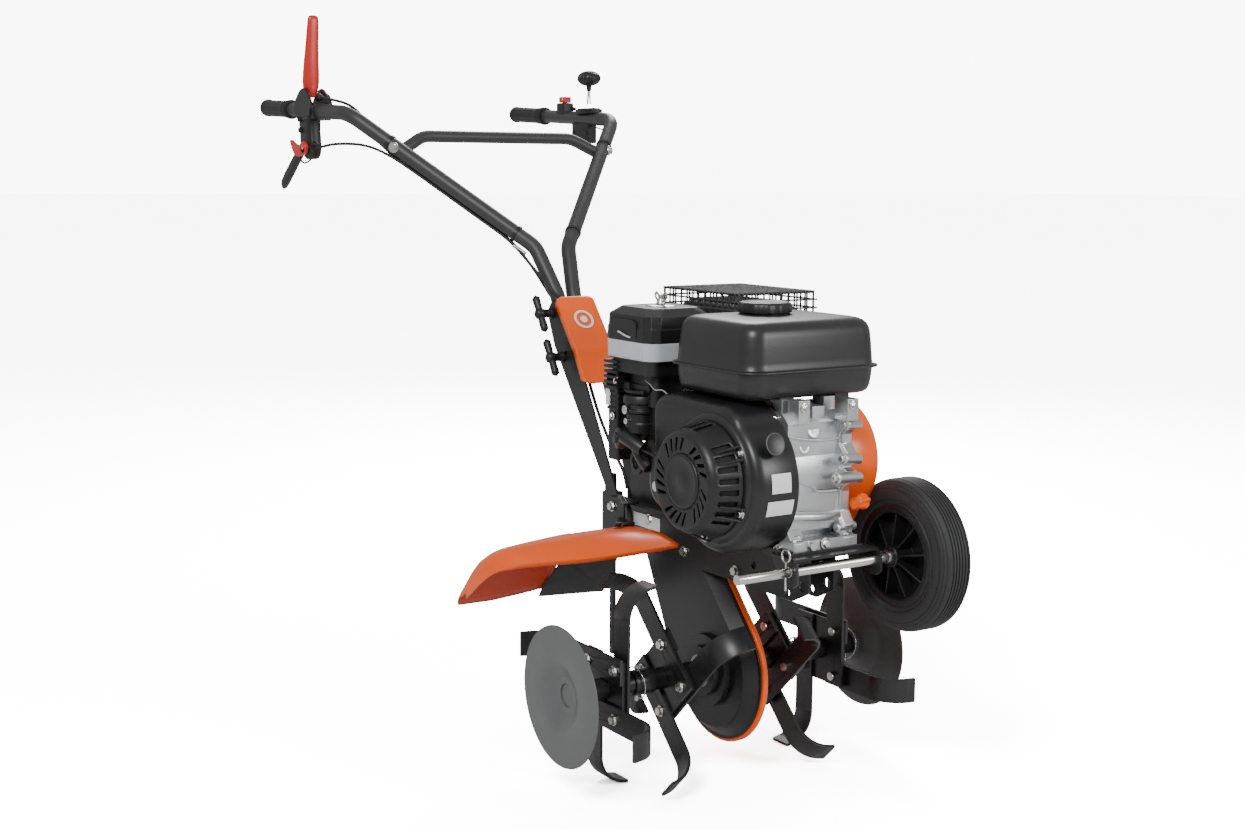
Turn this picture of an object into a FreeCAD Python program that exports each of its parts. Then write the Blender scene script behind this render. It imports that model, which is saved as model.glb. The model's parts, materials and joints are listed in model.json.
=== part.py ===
"""Garden tiller: engine over a chain case, driven tines, transport wheel and raised handlebar.

Modelling frame, in millimetres: X forward, Y to the operator's left, Z up, tine axle over X = 0
at the height AXLE_Z. Every shape is moved by SHIFT_X and SHIFT_Z when it is written, so the
finished part has its origin on the ground under the middle of its length.
"""

import FreeCAD, Part
import math
import os

V = FreeCAD.Vector

# ---------------------------------------------------------------- driving dimensions
SHIFT_X = 384.0            # moves the middle of the length over the origin
SHIFT_Z = -18.4            # puts the lowest blade tip on the ground
AXLE_Z = 186.0             # tine axle in the modelling frame

SHAFT_R = 12.5             # tine shaft
HUB_R = 17.0               # tine hub tube
HUB_START = 41.0           # inboard end of the inner hub, from the middle plane
HUB_JOIN = 168.0           # where the inner and outer hubs meet
HUB_END = 276.0
INNER_PLATE_Y = 100.0      # tine plates, inboard faces from the middle plane
OUTER_PLATE_Y = 211.0
PLATE_T = 6.0
PLATE_HALF = 53.0
BOLT_OFFSET = 38.0         # blade bolts, from the axle along each plate axis
BLADE_W = 40.0
BLADE_T = 5.0
BLADE_RUN = 116.0          # straight part of a blade, from the axle's foot
BLADE_BEND_R = 50.0
BLADE_BEND = 78.0          # degrees
BLADE_TIP = 13.0
DISC_R = 109.0

PLATE_IN = 21.0            # inner face of the side plates
SIDE_T = 4.0
COLUMN_IN = 33.0           # inner face of the column where it carries the handlebar
DECK_REAR = -305.0
DECK_FRONT = 252.0
DECK_LOW = 345.0
DECK_TOP = 421.0
PIVOT = (-463.0, 720.0)    # upper T-knob: the handlebar turns about it
CLAMP = (-425.0, 646.0)    # lower T-knob in the arc slot
TILT = 9.4                 # degrees of handlebar travel in the arc slot
STUD_R = 4.0

CASE_LOW = (0.0, AXLE_Z)   # chain case: lower and upper shaft centres
CASE_HIGH = (-185.0, 455.0)
CASE_LOW_R = 112.0
CASE_HIGH_R = 67.0
CASE_DEPTH = 20.5
CASE_WALL = 2.5
CASE_DRAFT = 20.0          # how far the pressed walls lean in

CRANK = (174.0, 543.0)
FAN_CENTRE = (183.0, 531.0)
ENGINE_BASE = 437.0
BELT_Y = (64.0, 82.0)      # belt plane
ENGINE_PULLEY_R = 32.0
DRIVEN_PULLEY_R = 72.0
COVER_Y = (48.0, 98.0)     # belt cover

TUBE_R = 13.5              # handlebar tube
TUBE_BORE = 11.5
TUBE_GAP_Y = 17.0          # tube centres in the column
GRIP_Y = 285.0
GRIP_END = -1172.0
GRIP_Z = 1091.0
BEND_X = -772.0            # where a tube leaves the grip line
BEND_Z = 1071.0

WHEEL = (290.0, 413.0)     # wheel axle
WHEEL_R = 114.0
WHEEL_Y = (98.0, 160.0)
WHEEL_AXLE_R = 7.5
AXLE_END = -184.0

IDLER_PIVOT = (40.0, 452.0)
IDLER = (-14.0, 422.0)

PARTS = {}


# ---------------------------------------------------------------- helpers
def box(x0, x1, y0, y1, z0, z1):
    return Part.makeBox(x1 - x0, y1 - y0, z1 - z0, V(x0, y0, z0))


def rod(a, b, r):
    """Round bar from point a to point b."""
    a, b = V(*a), V(*b)
    return Part.makeCylinder(r, (b - a).Length, a, b - a)


def disc_y(centre, y0, y1, r, bore=0.0):
    """Disc or ring across the machine, centred at (x, z)."""
    x, z = centre
    solid = rod((x, y0, z), (x, y1, z), r)
    if bore > 0:
        solid = solid.cut(rod((x, y0 - 1, z), (x, y1 + 1, z), bore))
    return solid


def polygon_y(points, y0, y1):
    """Flat plate with an outline of (x, z) points, between two Y planes."""
    ring = [V(x, y0, z) for x, z in points] + [V(points[0][0], y0, points[0][1])]
    return Part.Face(Part.makePolygon(ring)).extrude(V(0, y1 - y0, 0))


def tangent_points(low, low_r, high, high_r):
    """Where the two outer tangents touch the circles: rear pair, then front pair."""
    ax, az = high[0] - low[0], high[1] - low[1]
    length = math.hypot(ax, az)
    ax, az = ax / length, az / length
    sine = (low_r - high_r) / length
    cosine = math.sqrt(1 - sine * sine)
    pairs = []
    for side in (1, -1):
        nx = -az * side * cosine + ax * sine
        nz = ax * side * cosine + az * sine
        pairs.append(((low[0] + low_r * nx, low[1] + low_r * nz),
                      (high[0] + high_r * nx, high[1] + high_r * nz)))
    return pairs, (ax, az)


def teardrop_wire(low, low_r, high, high_r, y):
    """Outline round two circles in a plane across the machine."""
    ((la, ha), (lb, hb)), (ax, az) = tangent_points(low, low_r, high, high_r)
    bottom = (low[0] - ax * low_r, low[1] - az * low_r)
    top = (high[0] + ax * high_r, high[1] + az * high_r)

    def at(p):
        return V(p[0], y, p[1])

    edges = [Part.Arc(at(la), at(bottom), at(lb)).toShape(),
             Part.LineSegment(at(lb), at(hb)).toShape(),
             Part.Arc(at(hb), at(top), at(ha)).toShape(),
             Part.LineSegment(at(ha), at(la)).toShape()]
    return Part.Wire(edges)


def teardrop(low, low_r, high, high_r, y0, y1, draft=0.0):
    """Solid round two circles; with a draft its y1 face is smaller than its y0 face."""
    first = teardrop_wire(low, low_r, high, high_r, y0)
    if not draft:
        return Part.Face(first).extrude(V(0, y1 - y0, 0))
    last = teardrop_wire(low, low_r - draft, high, high_r - draft, y1)
    return Part.makeLoft([first, last], True, True)


def bent_path(points, radii):
    """Wire of straight runs joined by tangent arcs; radii are for the inner points."""
    edges = []
    here = V(*points[0])
    for i in range(1, len(points) - 1):
        a, b, c = (V(*points[k]) for k in (i - 1, i, i + 1))
        back, ahead = (a - b).normalize(), (c - b).normalize()
        half = back.getAngle(ahead) / 2
        reach = radii[i - 1] / math.tan(half)
        start, end = b + back * reach, b + ahead * reach
        middle_dir = (back + ahead).normalize()
        middle = b + middle_dir * (radii[i - 1] / math.sin(half) - radii[i - 1])
        if (start - here).Length > 0.01:
            edges.append(Part.LineSegment(here, start).toShape())
        edges.append(Part.Arc(start, middle, end).toShape())
        here = end
    edges.append(Part.LineSegment(here, V(*points[-1])).toShape())
    return Part.Wire(edges)


def tube_along(points, radii, r, bore=0.0):
    """Round tube or bar swept along a bent path."""
    path = bent_path(points, radii)
    start = V(*points[0])
    heading = V(*points[1]) - start

    def sweep(radius):
        ring = Part.Wire([Part.makeCircle(radius, start, heading)])
        return path.makePipeShell([ring], True, False)

    outer = sweep(r)
    return outer.cut(sweep(bore)) if bore else outer


def cord_radii(points):
    """Bend radii as large as the runs beside each point allow."""
    radii = []
    for i in range(1, len(points) - 1):
        a, b, c = (V(*points[k]) for k in (i - 1, i, i + 1))
        turn = math.pi - (a - b).getAngle(c - b)
        shorter = min((a - b).Length, (c - b).Length)
        radii.append(0.45 * shorter / math.tan(turn / 2))
    return radii


def mirror(shape):
    """The same piece on the other side of the machine."""
    return shape.mirror(V(0, 0, 0), V(0, 1, 0))


def group(*shapes):
    return Part.makeCompound(list(shapes))


def hex_bolt(x, z, y_face, side, r=4.0, length=16.0):
    """Hexagon bolt through a plate, its head and washer standing out on one side."""
    head = Part.makePolygon([V(x + 1.7 * r * math.cos(math.radians(60 * k)), y_face + side * 1.5,
                               z + 1.7 * r * math.sin(math.radians(60 * k))) for k in range(7)])
    head = Part.Face(head).extrude(V(0, side * 5.0, 0))
    washer = disc_y((x, z), *sorted((y_face, y_face + side * 1.5)), 2.2 * r)
    shank = disc_y((x, z), *sorted((y_face, y_face - side * length)), r)
    return head.fuse(washer).fuse(shank)


def keep(name, shape):
    PARTS[name] = shape


# ---------------------------------------------------------------- frame and column
def side_plate():
    """Right side plate with its column strip: flat at the deck, spreading, flat again."""
    web = polygon_y([(DECK_REAR, DECK_LOW), (214, DECK_LOW), (DECK_FRONT, 364), (DECK_FRONT, DECK_TOP),
                     (-262, DECK_TOP), (-272, 436), (-304, 436)], -PLATE_IN - SIDE_T, -PLATE_IN)
    low = ((-304, 436), (-272, 436), -PLATE_IN)
    high = ((-407, 600), (-346, 600), -COLUMN_IN)
    rings = []
    for (rear, front, y) in (low, high):
        corners = [V(rear[0], y, rear[1]), V(front[0], y, front[1]),
                   V(front[0], y - SIDE_T, front[1]), V(rear[0], y - SIDE_T, rear[1])]
        rings.append(Part.makePolygon(corners + corners[:1]))
    spread = Part.makeLoft(rings, True, True)
    strip = polygon_y([(-407, 600), (-346, 600), (-392, 670), (-446, 737), (-462, 744), (-480, 722),
                       (-455, 664)], -COLUMN_IN - SIDE_T, -COLUMN_IN)
    flange = box(-262, DECK_FRONT, -PLATE_IN - SIDE_T - 16, -PLATE_IN, DECK_TOP, DECK_TOP + 4)
    plate = web.fuse(spread).fuse(strip).fuse(flange)
    holes = [disc_y(PIVOT, -60, 0, STUD_R + 0.3)]
    reach = math.hypot(CLAMP[0] - PIVOT[0], CLAMP[1] - PIVOT[1])
    start = math.atan2(CLAMP[1] - PIVOT[1], CLAMP[0] - PIVOT[0])
    for k in range(7):
        a = start + math.radians(TILT) * k / 6
        holes.append(disc_y((PIVOT[0] + reach * math.cos(a), PIVOT[1] + reach * math.sin(a)), -60, 0,
                            STUD_R + 0.6))
    for x, z, r in ((203, 356, 5.5), (238, 372, 8.0), (225, 396, 7.0), (120, 380, 6.0)):
        holes.append(disc_y((x, z), -60, 0, r))
    return plate.cut(holes)


def engine_plate():
    """Plate under the engine on two rails that lie on the side plates' flanges."""
    top = box(80, 284, -84, 47, ENGINE_BASE - 5, ENGINE_BASE)
    rails = [box(x, x + 24, -84, 47, DECK_TOP + 4, ENGINE_BASE - 5) for x in (84, 216)]
    slots = [box(x - 12, x + 12, y - 4.5, y + 4.5, 420, 440) for x in (102, 262) for y in (-66, 32)]
    return top.fuse(rails).cut(slots)


def wheel_bracket():
    """Strap under the front of the engine plate with two ears round the wheel axle."""
    strap = box(250, 300, -92, 66, ENGINE_BASE - 9, ENGINE_BASE - 5)
    ears = [polygon_y([(250, ENGINE_BASE - 9), (306, ENGINE_BASE - 9), (308, 398), (298, 391),
                       (282, 391), (266, 402)], y, y + 4) for y in (-92, 62)]
    bore = disc_y(WHEEL, -100, 80, WHEEL_AXLE_R)
    return strap.fuse(ears).cut(bore)


def column_cover():
    """Folded cover over the front of the column, with a pressed step."""
    front = [(-448, 750), (-382, 668), (-374, 662), (-372, 655), (-346, 607)]
    back = [(x - 2.0, z - 1.2) for x, z in reversed(front)]
    face = polygon_y(front + back, -39.5, 39.5)
    lips = [polygon_y([(-449.5, 748.5), (-384, 667), (-375.5, 654), (-348, 606), (-354, 606),
                       (-382, 654), (-390, 667), (-455, 748.5)], y, y + 2)
            for y in (-39.5, 37.5)]
    return face.fuse(lips)


def stake_socket():
    """Square sleeve across the rear edge of the side plates, holding the depth stake."""
    x0, x1 = DECK_REAR - 25, DECK_REAR - 1
    sleeve = box(x0, x1, -14, 14, 350, 420).cut(box(-321.0, -313.0 + 3.0, -4.0, 4.0, 340, 430))
    tabs = [box(x1, DECK_REAR + 30, y, y + 3, 362, 408) for y in (-20.9, 17.9)]
    web = box(x1, DECK_REAR + 4, -17.9, 17.9, 362, 408)
    return sleeve.fuse(tabs).fuse(web)


def depth_stake():
    """Flat bar that slides in the socket, with adjusting holes."""
    bar = box(-320.7, -310.3, -3.7, 3.7, 130, 452)
    return bar.cut([disc_y((-315.5, z), -10, 10, 2.2) for z in range(150, 440, 30)])


def frame_bolts():
    """Hexagon bolts that hold the side plates together and to the chain case and engine."""
    heads = []
    for x, z in ((-280, 402), (-165, 400), (-134, 360), (-63, 366), (75, 362), (196, 398)):
        heads.append(hex_bolt(x, z, -PLATE_IN - SIDE_T, -1, 4.0, SIDE_T))
        heads.append(hex_bolt(x, z, PLATE_IN + SIDE_T, 1, 4.0, SIDE_T))
    return heads


# ---------------------------------------------------------------- chain case
def chain_case_half(side, flange_r, flange_t):
    """One pressed half of the chain case; side is -1 for the right half."""
    def cup(extra, y0, y1, draft):
        return teardrop(CASE_LOW, CASE_LOW_R + extra, CASE_HIGH, CASE_HIGH_R + extra,
                        side * y0, side * y1, draft)

    outer = cup(0, 0, CASE_DEPTH, CASE_DRAFT)
    inner = cup(-CASE_WALL, 0, CASE_DEPTH - CASE_WALL, CASE_DRAFT)
    flange = cup(flange_r, 0, flange_t, 0)
    boss = disc_y(CASE_LOW, *sorted((side * 14, side * 38)), 40)
    collar = disc_y(CASE_LOW, *sorted((side * 14, side * 30)), 58)
    neck = disc_y(CASE_HIGH, *sorted((side * 8, side * (46 if side > 0 else CASE_DEPTH))), 24)
    solid = outer.fuse([flange]).cut(inner).fuse([boss, collar, neck])
    cuts = [disc_y(CASE_LOW, *sorted((side * 22, side * 45)), 26),
            disc_y(CASE_LOW, *sorted((0, side * 45)), 20)]
    if side > 0:
        cuts.append(disc_y(CASE_HIGH, 0, 50, 17.5))
    else:
        cuts.append(disc_y(CASE_HIGH, -18, 0, 17.5))
    return solid.cut(cuts)


def shaft_bearings():
    """Ball bearings of the tine shaft and of the input shaft, with the lip seals."""
    rings = []
    for side in (-1, 1):
        rings.append(disc_y(CASE_LOW, *sorted((side * 22, side * 35)), 26, SHAFT_R + 0.05))
        rings.append(disc_y(CASE_LOW, *sorted((side * 35, side * 38)), 26, SHAFT_R + 0.3))
    rings.append(disc_y(CASE_HIGH, -18, -9, 17.5, 8.55))
    rings.append(disc_y(CASE_HIGH, 34, 44, 17.5, 8.55))
    return group(*rings)


def drive_chain():
    outer = teardrop(CASE_LOW, 80, CASE_HIGH, 32, -4, 4)
    inner = teardrop(CASE_LOW, 72.4, CASE_HIGH, 24.4, -5, 5)
    return outer.cut(inner)


def toothed_disc(centre, r, y0, y1, teeth, depth):
    """Sprocket: a disc with round gaps between its teeth."""
    solid = disc_y(centre, y0, y1, r)
    gaps = []
    for k in range(teeth):
        a = 2 * math.pi * k / teeth
        gaps.append(disc_y((centre[0] + r * math.cos(a), centre[1] + r * math.sin(a)), y0 - 1, y1 + 1, depth))
    return solid.cut(gaps)


# ---------------------------------------------------------------- tines
def tine_shaft():
    shaft = disc_y(CASE_LOW, -150, 150, SHAFT_R)
    sprocket = toothed_disc(CASE_LOW, 72, -3, 3, 36, 3.4)
    return shaft.fuse(sprocket)


def plate_at(y0, y1, turned):
    """Square tine plate, on its corner when turned."""
    corners = []
    for k in range(4):
        a = math.radians(90 * k + (0 if turned else 45))
        reach = PLATE_HALF * math.sqrt(2)
        corners.append((reach * math.cos(a), AXLE_Z + reach * math.sin(a)))
    return polygon_y(corners, y0, y1)


def bolt_centres(turned):
    reach = BOLT_OFFSET * math.sqrt(2)
    angles = [math.radians(90 * k + (0 if turned else 45)) for k in range(4)]
    return [(reach * math.cos(a), AXLE_Z + reach * math.sin(a)) for a in angles]


def hub(y0, y1, plate_y, turned, pin_y):
    """Right-hand hub: a tube with its tine plate and a cross hole for the hitch pin."""
    tube = disc_y(CASE_LOW, y0, y1, HUB_R)
    tube = tube.fuse(plate_at(plate_y - PLATE_T, plate_y, turned))
    tube = tube.cut(disc_y(CASE_LOW, y0 - 1, y1 + 1, SHAFT_R))
    holes = [disc_y((x, z), plate_y - 20, plate_y + 20, 4.0) for x, z in bolt_centres(turned)]
    holes.append(rod((0, pin_y, AXLE_Z - 40), (0, pin_y, AXLE_Z + 40), 3.0))
    return tube.cut(holes)


def inner_hub():
    sleeve = disc_y(CASE_LOW, -HUB_JOIN, -HUB_JOIN + 36, 20, HUB_R)
    body = hub(-HUB_JOIN, -HUB_START, -INNER_PLATE_Y, True, -HUB_JOIN + 12)
    return body.fuse(sleeve).cut(rod((0, -HUB_JOIN + 12, 100), (0, -HUB_JOIN + 12, 260), 3.0))


def outer_hub():
    body = hub(-HUB_END, -HUB_JOIN, -OUTER_PLATE_Y, False, -HUB_END + 12)
    stub = disc_y(CASE_LOW, -HUB_JOIN - 22, -150, SHAFT_R)
    return body.fuse(stub).cut(rod((0, -HUB_JOIN + 12, 100), (0, -HUB_JOIN + 12, 260), 3.0))


def blade(angle, face_y, out):
    """One bent blade; it leans out along Y by out (+1 or -1) from its plate face."""
    turn = math.radians(BLADE_BEND)

    def point(u, w):
        return V(u, w, 0)

    def line_at(t0):
        """Inner or outer line of the blade at a thickness offset t0."""
        r = BLADE_BEND_R - t0
        bend = point(BLADE_RUN, BLADE_BEND_R)
        start = point(BLADE_RUN, t0)
        middle = bend + V(r * math.sin(turn / 2), -r * math.cos(turn / 2), 0)
        end = bend + V(r * math.sin(turn), -r * math.cos(turn), 0)
        tip = end + V(math.cos(turn), math.sin(turn), 0) * BLADE_TIP
        return start, middle, end, tip

    rear = -BOLT_OFFSET - 16.0
    s0, m0, e0, t0 = line_at(0.0)
    s1, m1, e1, t1 = line_at(BLADE_T)
    edges = [Part.LineSegment(point(rear, 0), s0).toShape(), Part.Arc(s0, m0, e0).toShape(),
             Part.LineSegment(e0, t0).toShape(), Part.LineSegment(t0, t1).toShape(),
             Part.LineSegment(t1, e1).toShape(), Part.Arc(e1, m1, s1).toShape(),
             Part.LineSegment(s1, point(rear, BLADE_T)).toShape(),
             Part.LineSegment(point(rear, BLADE_T), point(rear, 0)).toShape()]
    half = BLADE_W / 2
    solid = Part.Face(Part.Wire(edges)).extrude(V(0, 0, BLADE_W))
    solid.translate(V(0, 0, BOLT_OFFSET - half))
    # u, w and v become the blade's direction, the machine's Y and the direction off the axle
    a = math.radians(angle)
    off = V(math.cos(a), 0, math.sin(a))
    along = V(-math.sin(a), 0, math.cos(a))
    place = FreeCAD.Matrix(along.x, 0, off.x, 0, 0, out, 0, face_y, along.z, 0, off.z, AXLE_Z, 0, 0, 0, 1)
    return solid.transformGeometry(place)


def blade_set(plate_y, turned):
    """Four blades of one right-hand plate: two lean outboard, two lean inboard."""
    blades = []
    holes = [disc_y((x, z), plate_y - 30, plate_y + 30, 4.0) for x, z in bolt_centres(turned)]
    for k in range(4):
        angle = 90 * k + (45 if turned else 90)
        outboard = k % 2 == 0
        face = plate_y - PLATE_T if outboard else plate_y
        solid = blade(angle, face, -1 if outboard else 1)
        blades.append(solid.cut(holes))
    return blades


def blade_bolts():
    bolts = []
    for plate_y, turned in ((-INNER_PLATE_Y, True), (-OUTER_PLATE_Y, False)):
        for x, z in bolt_centres(turned):
            face = plate_y - PLATE_T - BLADE_T
            bolt = hex_bolt(x, z, face, -1, 4.0, PLATE_T + 2 * BLADE_T + 7)
            nut = disc_y((x, z), plate_y + BLADE_T, plate_y + BLADE_T + 6.5, 7.0)
            bolts.append(bolt.fuse(nut))
    return bolts


def hitch_pins():
    """Cross pins with spring-wire rings, one at each hub joint."""
    pins = []
    for pin_y in (-HUB_JOIN + 12, -HUB_END + 12):
        pin = rod((0, pin_y, AXLE_Z - 29), (0, pin_y, AXLE_Z + 26), 3.0)
        ring = Part.makeTorus(25, 1.1, V(0, pin_y - 1.0, AXLE_Z), V(0, 1, 0.12))
        pins.append(pin.fuse(ring))
    return pins


def soil_disc():
    """Dished plant guard with a short spigot in the end of the outer hub."""
    profile = [(0, -283), (33, -283), (53, -292), (DISC_R, -292), (DISC_R, -294.5), (52, -294.5),
               (32, -285.5), (0, -285.5)]
    ring = [V(x, y, AXLE_Z) for x, y in profile] + [V(0, -283, AXLE_Z)]
    dish = Part.Face(Part.makePolygon(ring)).revolve(V(0, 0, AXLE_Z), V(0, 1, 0), 360)
    spigot = disc_y(CASE_LOW, -283, -HUB_END + 26, SHAFT_R)
    collar = disc_y(CASE_LOW, -283, -HUB_END, 18)
    solid = dish.fuse(spigot).fuse(collar)
    return solid.cut(rod((0, -HUB_END + 12, 100), (0, -HUB_END + 12, 260), 3.0))


# ---------------------------------------------------------------- fenders
def fender_section(y, front, crown, knee, low):
    """Thin band through four (x, z) points at one station across the machine."""
    outside = [front, crown, knee, low]
    inside = [(x + (0.4 if i < 2 else 2.4), z - (2.6 if i < 3 else 0.6)) for i, (x, z) in enumerate(outside)]
    ring = [V(x, y, z) for x, z in outside + list(reversed(inside))]
    return Part.makePolygon(ring + ring[:1])


FENDER_TOP = [
    (-66, (-22, 392), (-96, 398), (-150, 394), (-162, 386)),
    (-130, (-62, 378), (-120, 394), (-164, 390), (-184, 362)),
    (-180, (-100, 366), (-150, 386), (-190, 380), (-250, 284)),
    (-245, (-150, 356), (-184, 373), (-222, 362), (-286, 268)),
    (-285, (-182, 350), (-210, 358), (-248, 344), (-308, 262)),
    (-300, (-222, 320), (-238, 326), (-266, 316), (-318, 260)),
]


def fender():
    """Right-hand fender: a domed top that turns down into the rear curtain."""
    return Part.makeLoft([fender_section(y, *rest) for y, *rest in FENDER_TOP], True, True)


def fender_left():
    """The left fender starts outboard of the belt cover."""
    return mirror(fender()).cut(box(-400, 100, 0, 104, 200, 450))


def curtain(y_in):
    """Inner extension of the rear curtain, hung under the fender top."""
    outline = [V(-190, -182, 372), V(-262, -182, 268), V(-250, y_in, 264), V(-176, y_in, 374)]
    face = Part.Face(Part.makePolygon(outline[:3] + outline[:1]))
    other = Part.Face(Part.makePolygon([outline[0], outline[2], outline[3], outline[0]]))
    return face.extrude(V(2.2, 0, 1.4)).fuse(other.extrude(V(2.2, 0, 1.4)))


def fender_struts():
    """Bent straps that carry the right fender from the deck flange and the left from the web."""
    right = box(-196, -180, -66, -36, DECK_TOP + 4, DECK_TOP + 7).fuse([
        box(-196, -180, -66, -63, 399, DECK_TOP + 7), box(-196, -150, -84, -63, 399, 402),
        rod((-162, -76, 393), (-162, -76, 399), 7)])
    left = box(-196, -180, PLATE_IN + SIDE_T, 120, 349, 352).fuse([
        box(-196, -180, PLATE_IN + SIDE_T, PLATE_IN + SIDE_T + 3, 349, 380), box(-196, -180, 117, 120, 349, 386)])
    return right, left


# ---------------------------------------------------------------- engine
def crankcase():
    body = box(92, 262, -77, 26, ENGINE_BASE + 12, 632)
    foot = box(84, 280, -77, 40, ENGINE_BASE, ENGINE_BASE + 14)
    front = disc_y(CRANK, -77, 26, 92)
    body = body.common(disc_y((176, 540), -77, 26, 116)).fuse(front.common(box(60, 270, -77, 26, 449, 640)))
    lugs = [box(214, 240, y, y + 20, 600, 650) for y in (-72, 5)]
    solid = body.fuse(foot).fuse(lugs)
    drain = rod((278, -46, ENGINE_BASE + 7), (288, -46, ENGINE_BASE + 7), 6)
    cavity = disc_y(CRANK, -60, 26, 70).fuse(disc_y(CRANK, -80, -59, 16))
    return solid.fuse(drain).cut(cavity)


def crankcase_cover():
    plate = disc_y(CRANK, 26, 40, 88).fuse(box(100, 256, 26, 40, ENGINE_BASE + 14, 560))
    bosses = []
    for angle in (-62, -36, -10, 16, 42, 68, 110, 150):
        x = CRANK[0] + 86 * math.cos(math.radians(angle))
        z = CRANK[1] + 86 * math.sin(math.radians(angle))
        bosses.append(disc_y((x, z), 26, 44, 7))
    nose = disc_y(CRANK, 40, 47, 30)
    return plate.fuse(bosses).fuse(nose).cut(disc_y(CRANK, 20, 60, 16))


def cylinder_head():
    """Finned cylinder and head, leaning back over the deck."""
    lean = math.radians(25)
    along = V(-math.cos(lean), 0, math.sin(lean))
    start = V(CRANK[0], -18, CRANK[1] + 12) + along * 95
    core = Part.makeCylinder(42, 130, start, along)
    head = Part.makeBox(100, 96, 30, V(0, 0, 0))
    fins = []
    for k in range(9):
        fin = Part.makeBox(112, 104, 3)
        fin.translate(V(-56, -52, 0))
        fin.rotate(V(0, 0, 0), V(0, 1, 0), -65)
        fin.translate(start + along * (24 + 9.5 * k))
        fins.append(fin)
    head = Part.makeBox(108, 100, 34)
    head.translate(V(-54, -50, 0))
    head.rotate(V(0, 0, 0), V(0, 1, 0), -65)
    head.translate(start + along * 112)
    return core.fuse(fins).fuse(head)


def fan_cover():
    """Blower shroud between the crankcase and the recoil starter."""
    outline = disc_y(FAN_CENTRE, -150, -77.5, 107)
    shroud = polygon_y([(22, 560), (8, 505), (22, 474), (92, 446), (183, 440), (183, 648), (50, 648),
                        (27, 630)], -150, -77.5)
    solid = outline.fuse(shroud).common(box(0, 300, -151, -77, ENGINE_BASE + 1, 649))
    inner = disc_y(FAN_CENTRE, -147, -77, 104)
    inner = inner.fuse(polygon_y([(25, 560), (11, 505), (25, 476), (93, 449), (183, 443), (183, 645), (52, 645),
                                  (30, 629)], -147, -77))
    inner = inner.common(box(3, 297, -147, -70, ENGINE_BASE + 4, 646))
    return solid.cut(inner).cut(disc_y(CRANK, -155, -140, 84))


def recoil_housing():
    """Recoil starter cup with curved louvres in its face and slots in its side."""
    ring = disc_y(CRANK, -156, -150, 92)
    cup = disc_y(CRANK, -203, -156, 75)
    solid = ring.fuse(cup).cut(disc_y(CRANK, -200, -149, 72))
    cuts = []
    for k in range(4):
        for step in (-16, 0, 16):
            a = math.radians(90 * k + 45 + step)
            bar = box(44, 64, -205, -199, -2.6, 2.6)
            bar.rotate(V(0, 0, 0), V(0, 1, 0), -math.degrees(a))
            bar.translate(V(CRANK[0], 0, CRANK[1]))
            cuts.append(bar)
    for k in range(24):
        a = math.radians(15 * k + 7.5)
        if k % 6 == 0:
            continue
        bar = box(66, 80, -196, -166, -2.6, 2.6)
        bar.rotate(V(0, 0, 0), V(0, 1, 0), -math.degrees(a))
        bar.translate(V(CRANK[0], 0, CRANK[1]))
        cuts.append(bar)
    return solid.cut(cuts).cut(box(90, 110, -176, -150, 540, 556))


def starter_handle():
    """Pull grip beside the starter cup, with its rope stub."""
    bar = rod((-12, -177, 573), (24, -164, 556), 10)
    rope = rod((20, -166, 556), (104, -169, 548), 1.8)
    return bar.fuse(rope)


def rounded_box(x0, x1, y0, y1, z0, z1, r_side, r_top=0.0, r_low=0.0):
    solid = box(x0, x1, y0, y1, z0, z1)
    upright = [e for e in solid.Edges if abs(e.tangentAt(e.FirstParameter).z) > 0.9]
    solid = solid.makeFillet(r_side, upright)
    if r_top:
        solid = solid.makeFillet(r_top, [e for e in solid.Edges if e.BoundBox.ZMin > z1 - 0.01])
    if r_low:
        solid = solid.makeFillet(r_low, [e for e in solid.Edges if e.BoundBox.ZMax < z0 + 0.01])
    return solid


def fuel_tank():
    upper = rounded_box(42.5, 242, -131, 111, 690, 758, 26, 16)
    lower = rounded_box(46.5, 238, -127, 107, 650, 690, 24, 0, 14)
    seam = rounded_box(35.5, 249, -138, 118, 688, 692, 28)
    neck = rod((128, -19, 752), (128, -19, 764), 32)
    shell = upper.fuse([lower, seam, neck])
    inside = rounded_box(45.5, 239, -128, 108, 691, 755, 23, 12)
    sump = rounded_box(49.5, 235, -124, 104, 653, 692, 21, 0, 11)
    return shell.cut([inside, sump, rod((128, -19, 745), (128, -19, 765), 28)])


def fuel_cap():
    cap = rod((128, -19, 764.5), (128, -19, 781), 40)
    ribs = []
    for k in range(12):
        a = 2 * math.pi * k / 12
        ribs.append(rod((128 + 42 * math.cos(a), -19 + 42 * math.sin(a), 760),
                        (128 + 42 * math.cos(a), -19 + 42 * math.sin(a), 783), 5))
    return cap.cut(ribs).fuse(rod((128, -19, 756), (128, -19, 764.5), 27.5))


AIR_X = (-119.0, 12.0)
AIR_Y = (-145.0, -22.0)


def air_cleaner_base():
    band = rounded_box(AIR_X[0], AIR_X[1], AIR_Y[0], AIR_Y[1], 683, 713, 22)
    low = rounded_box(AIR_X[0] + 6, AIR_X[1] - 6, AIR_Y[0] + 6, AIR_Y[1] - 6, 662, 683, 18)
    inside = rounded_box(AIR_X[0] + 3, AIR_X[1] - 3, AIR_Y[0] + 3, AIR_Y[1] - 3, 690, 714, 19)
    stud = rod((-50, -84, 688), (-50, -84, 778), 3)
    return band.fuse([low, intake_duct()]).cut(inside).fuse(stud)


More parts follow.
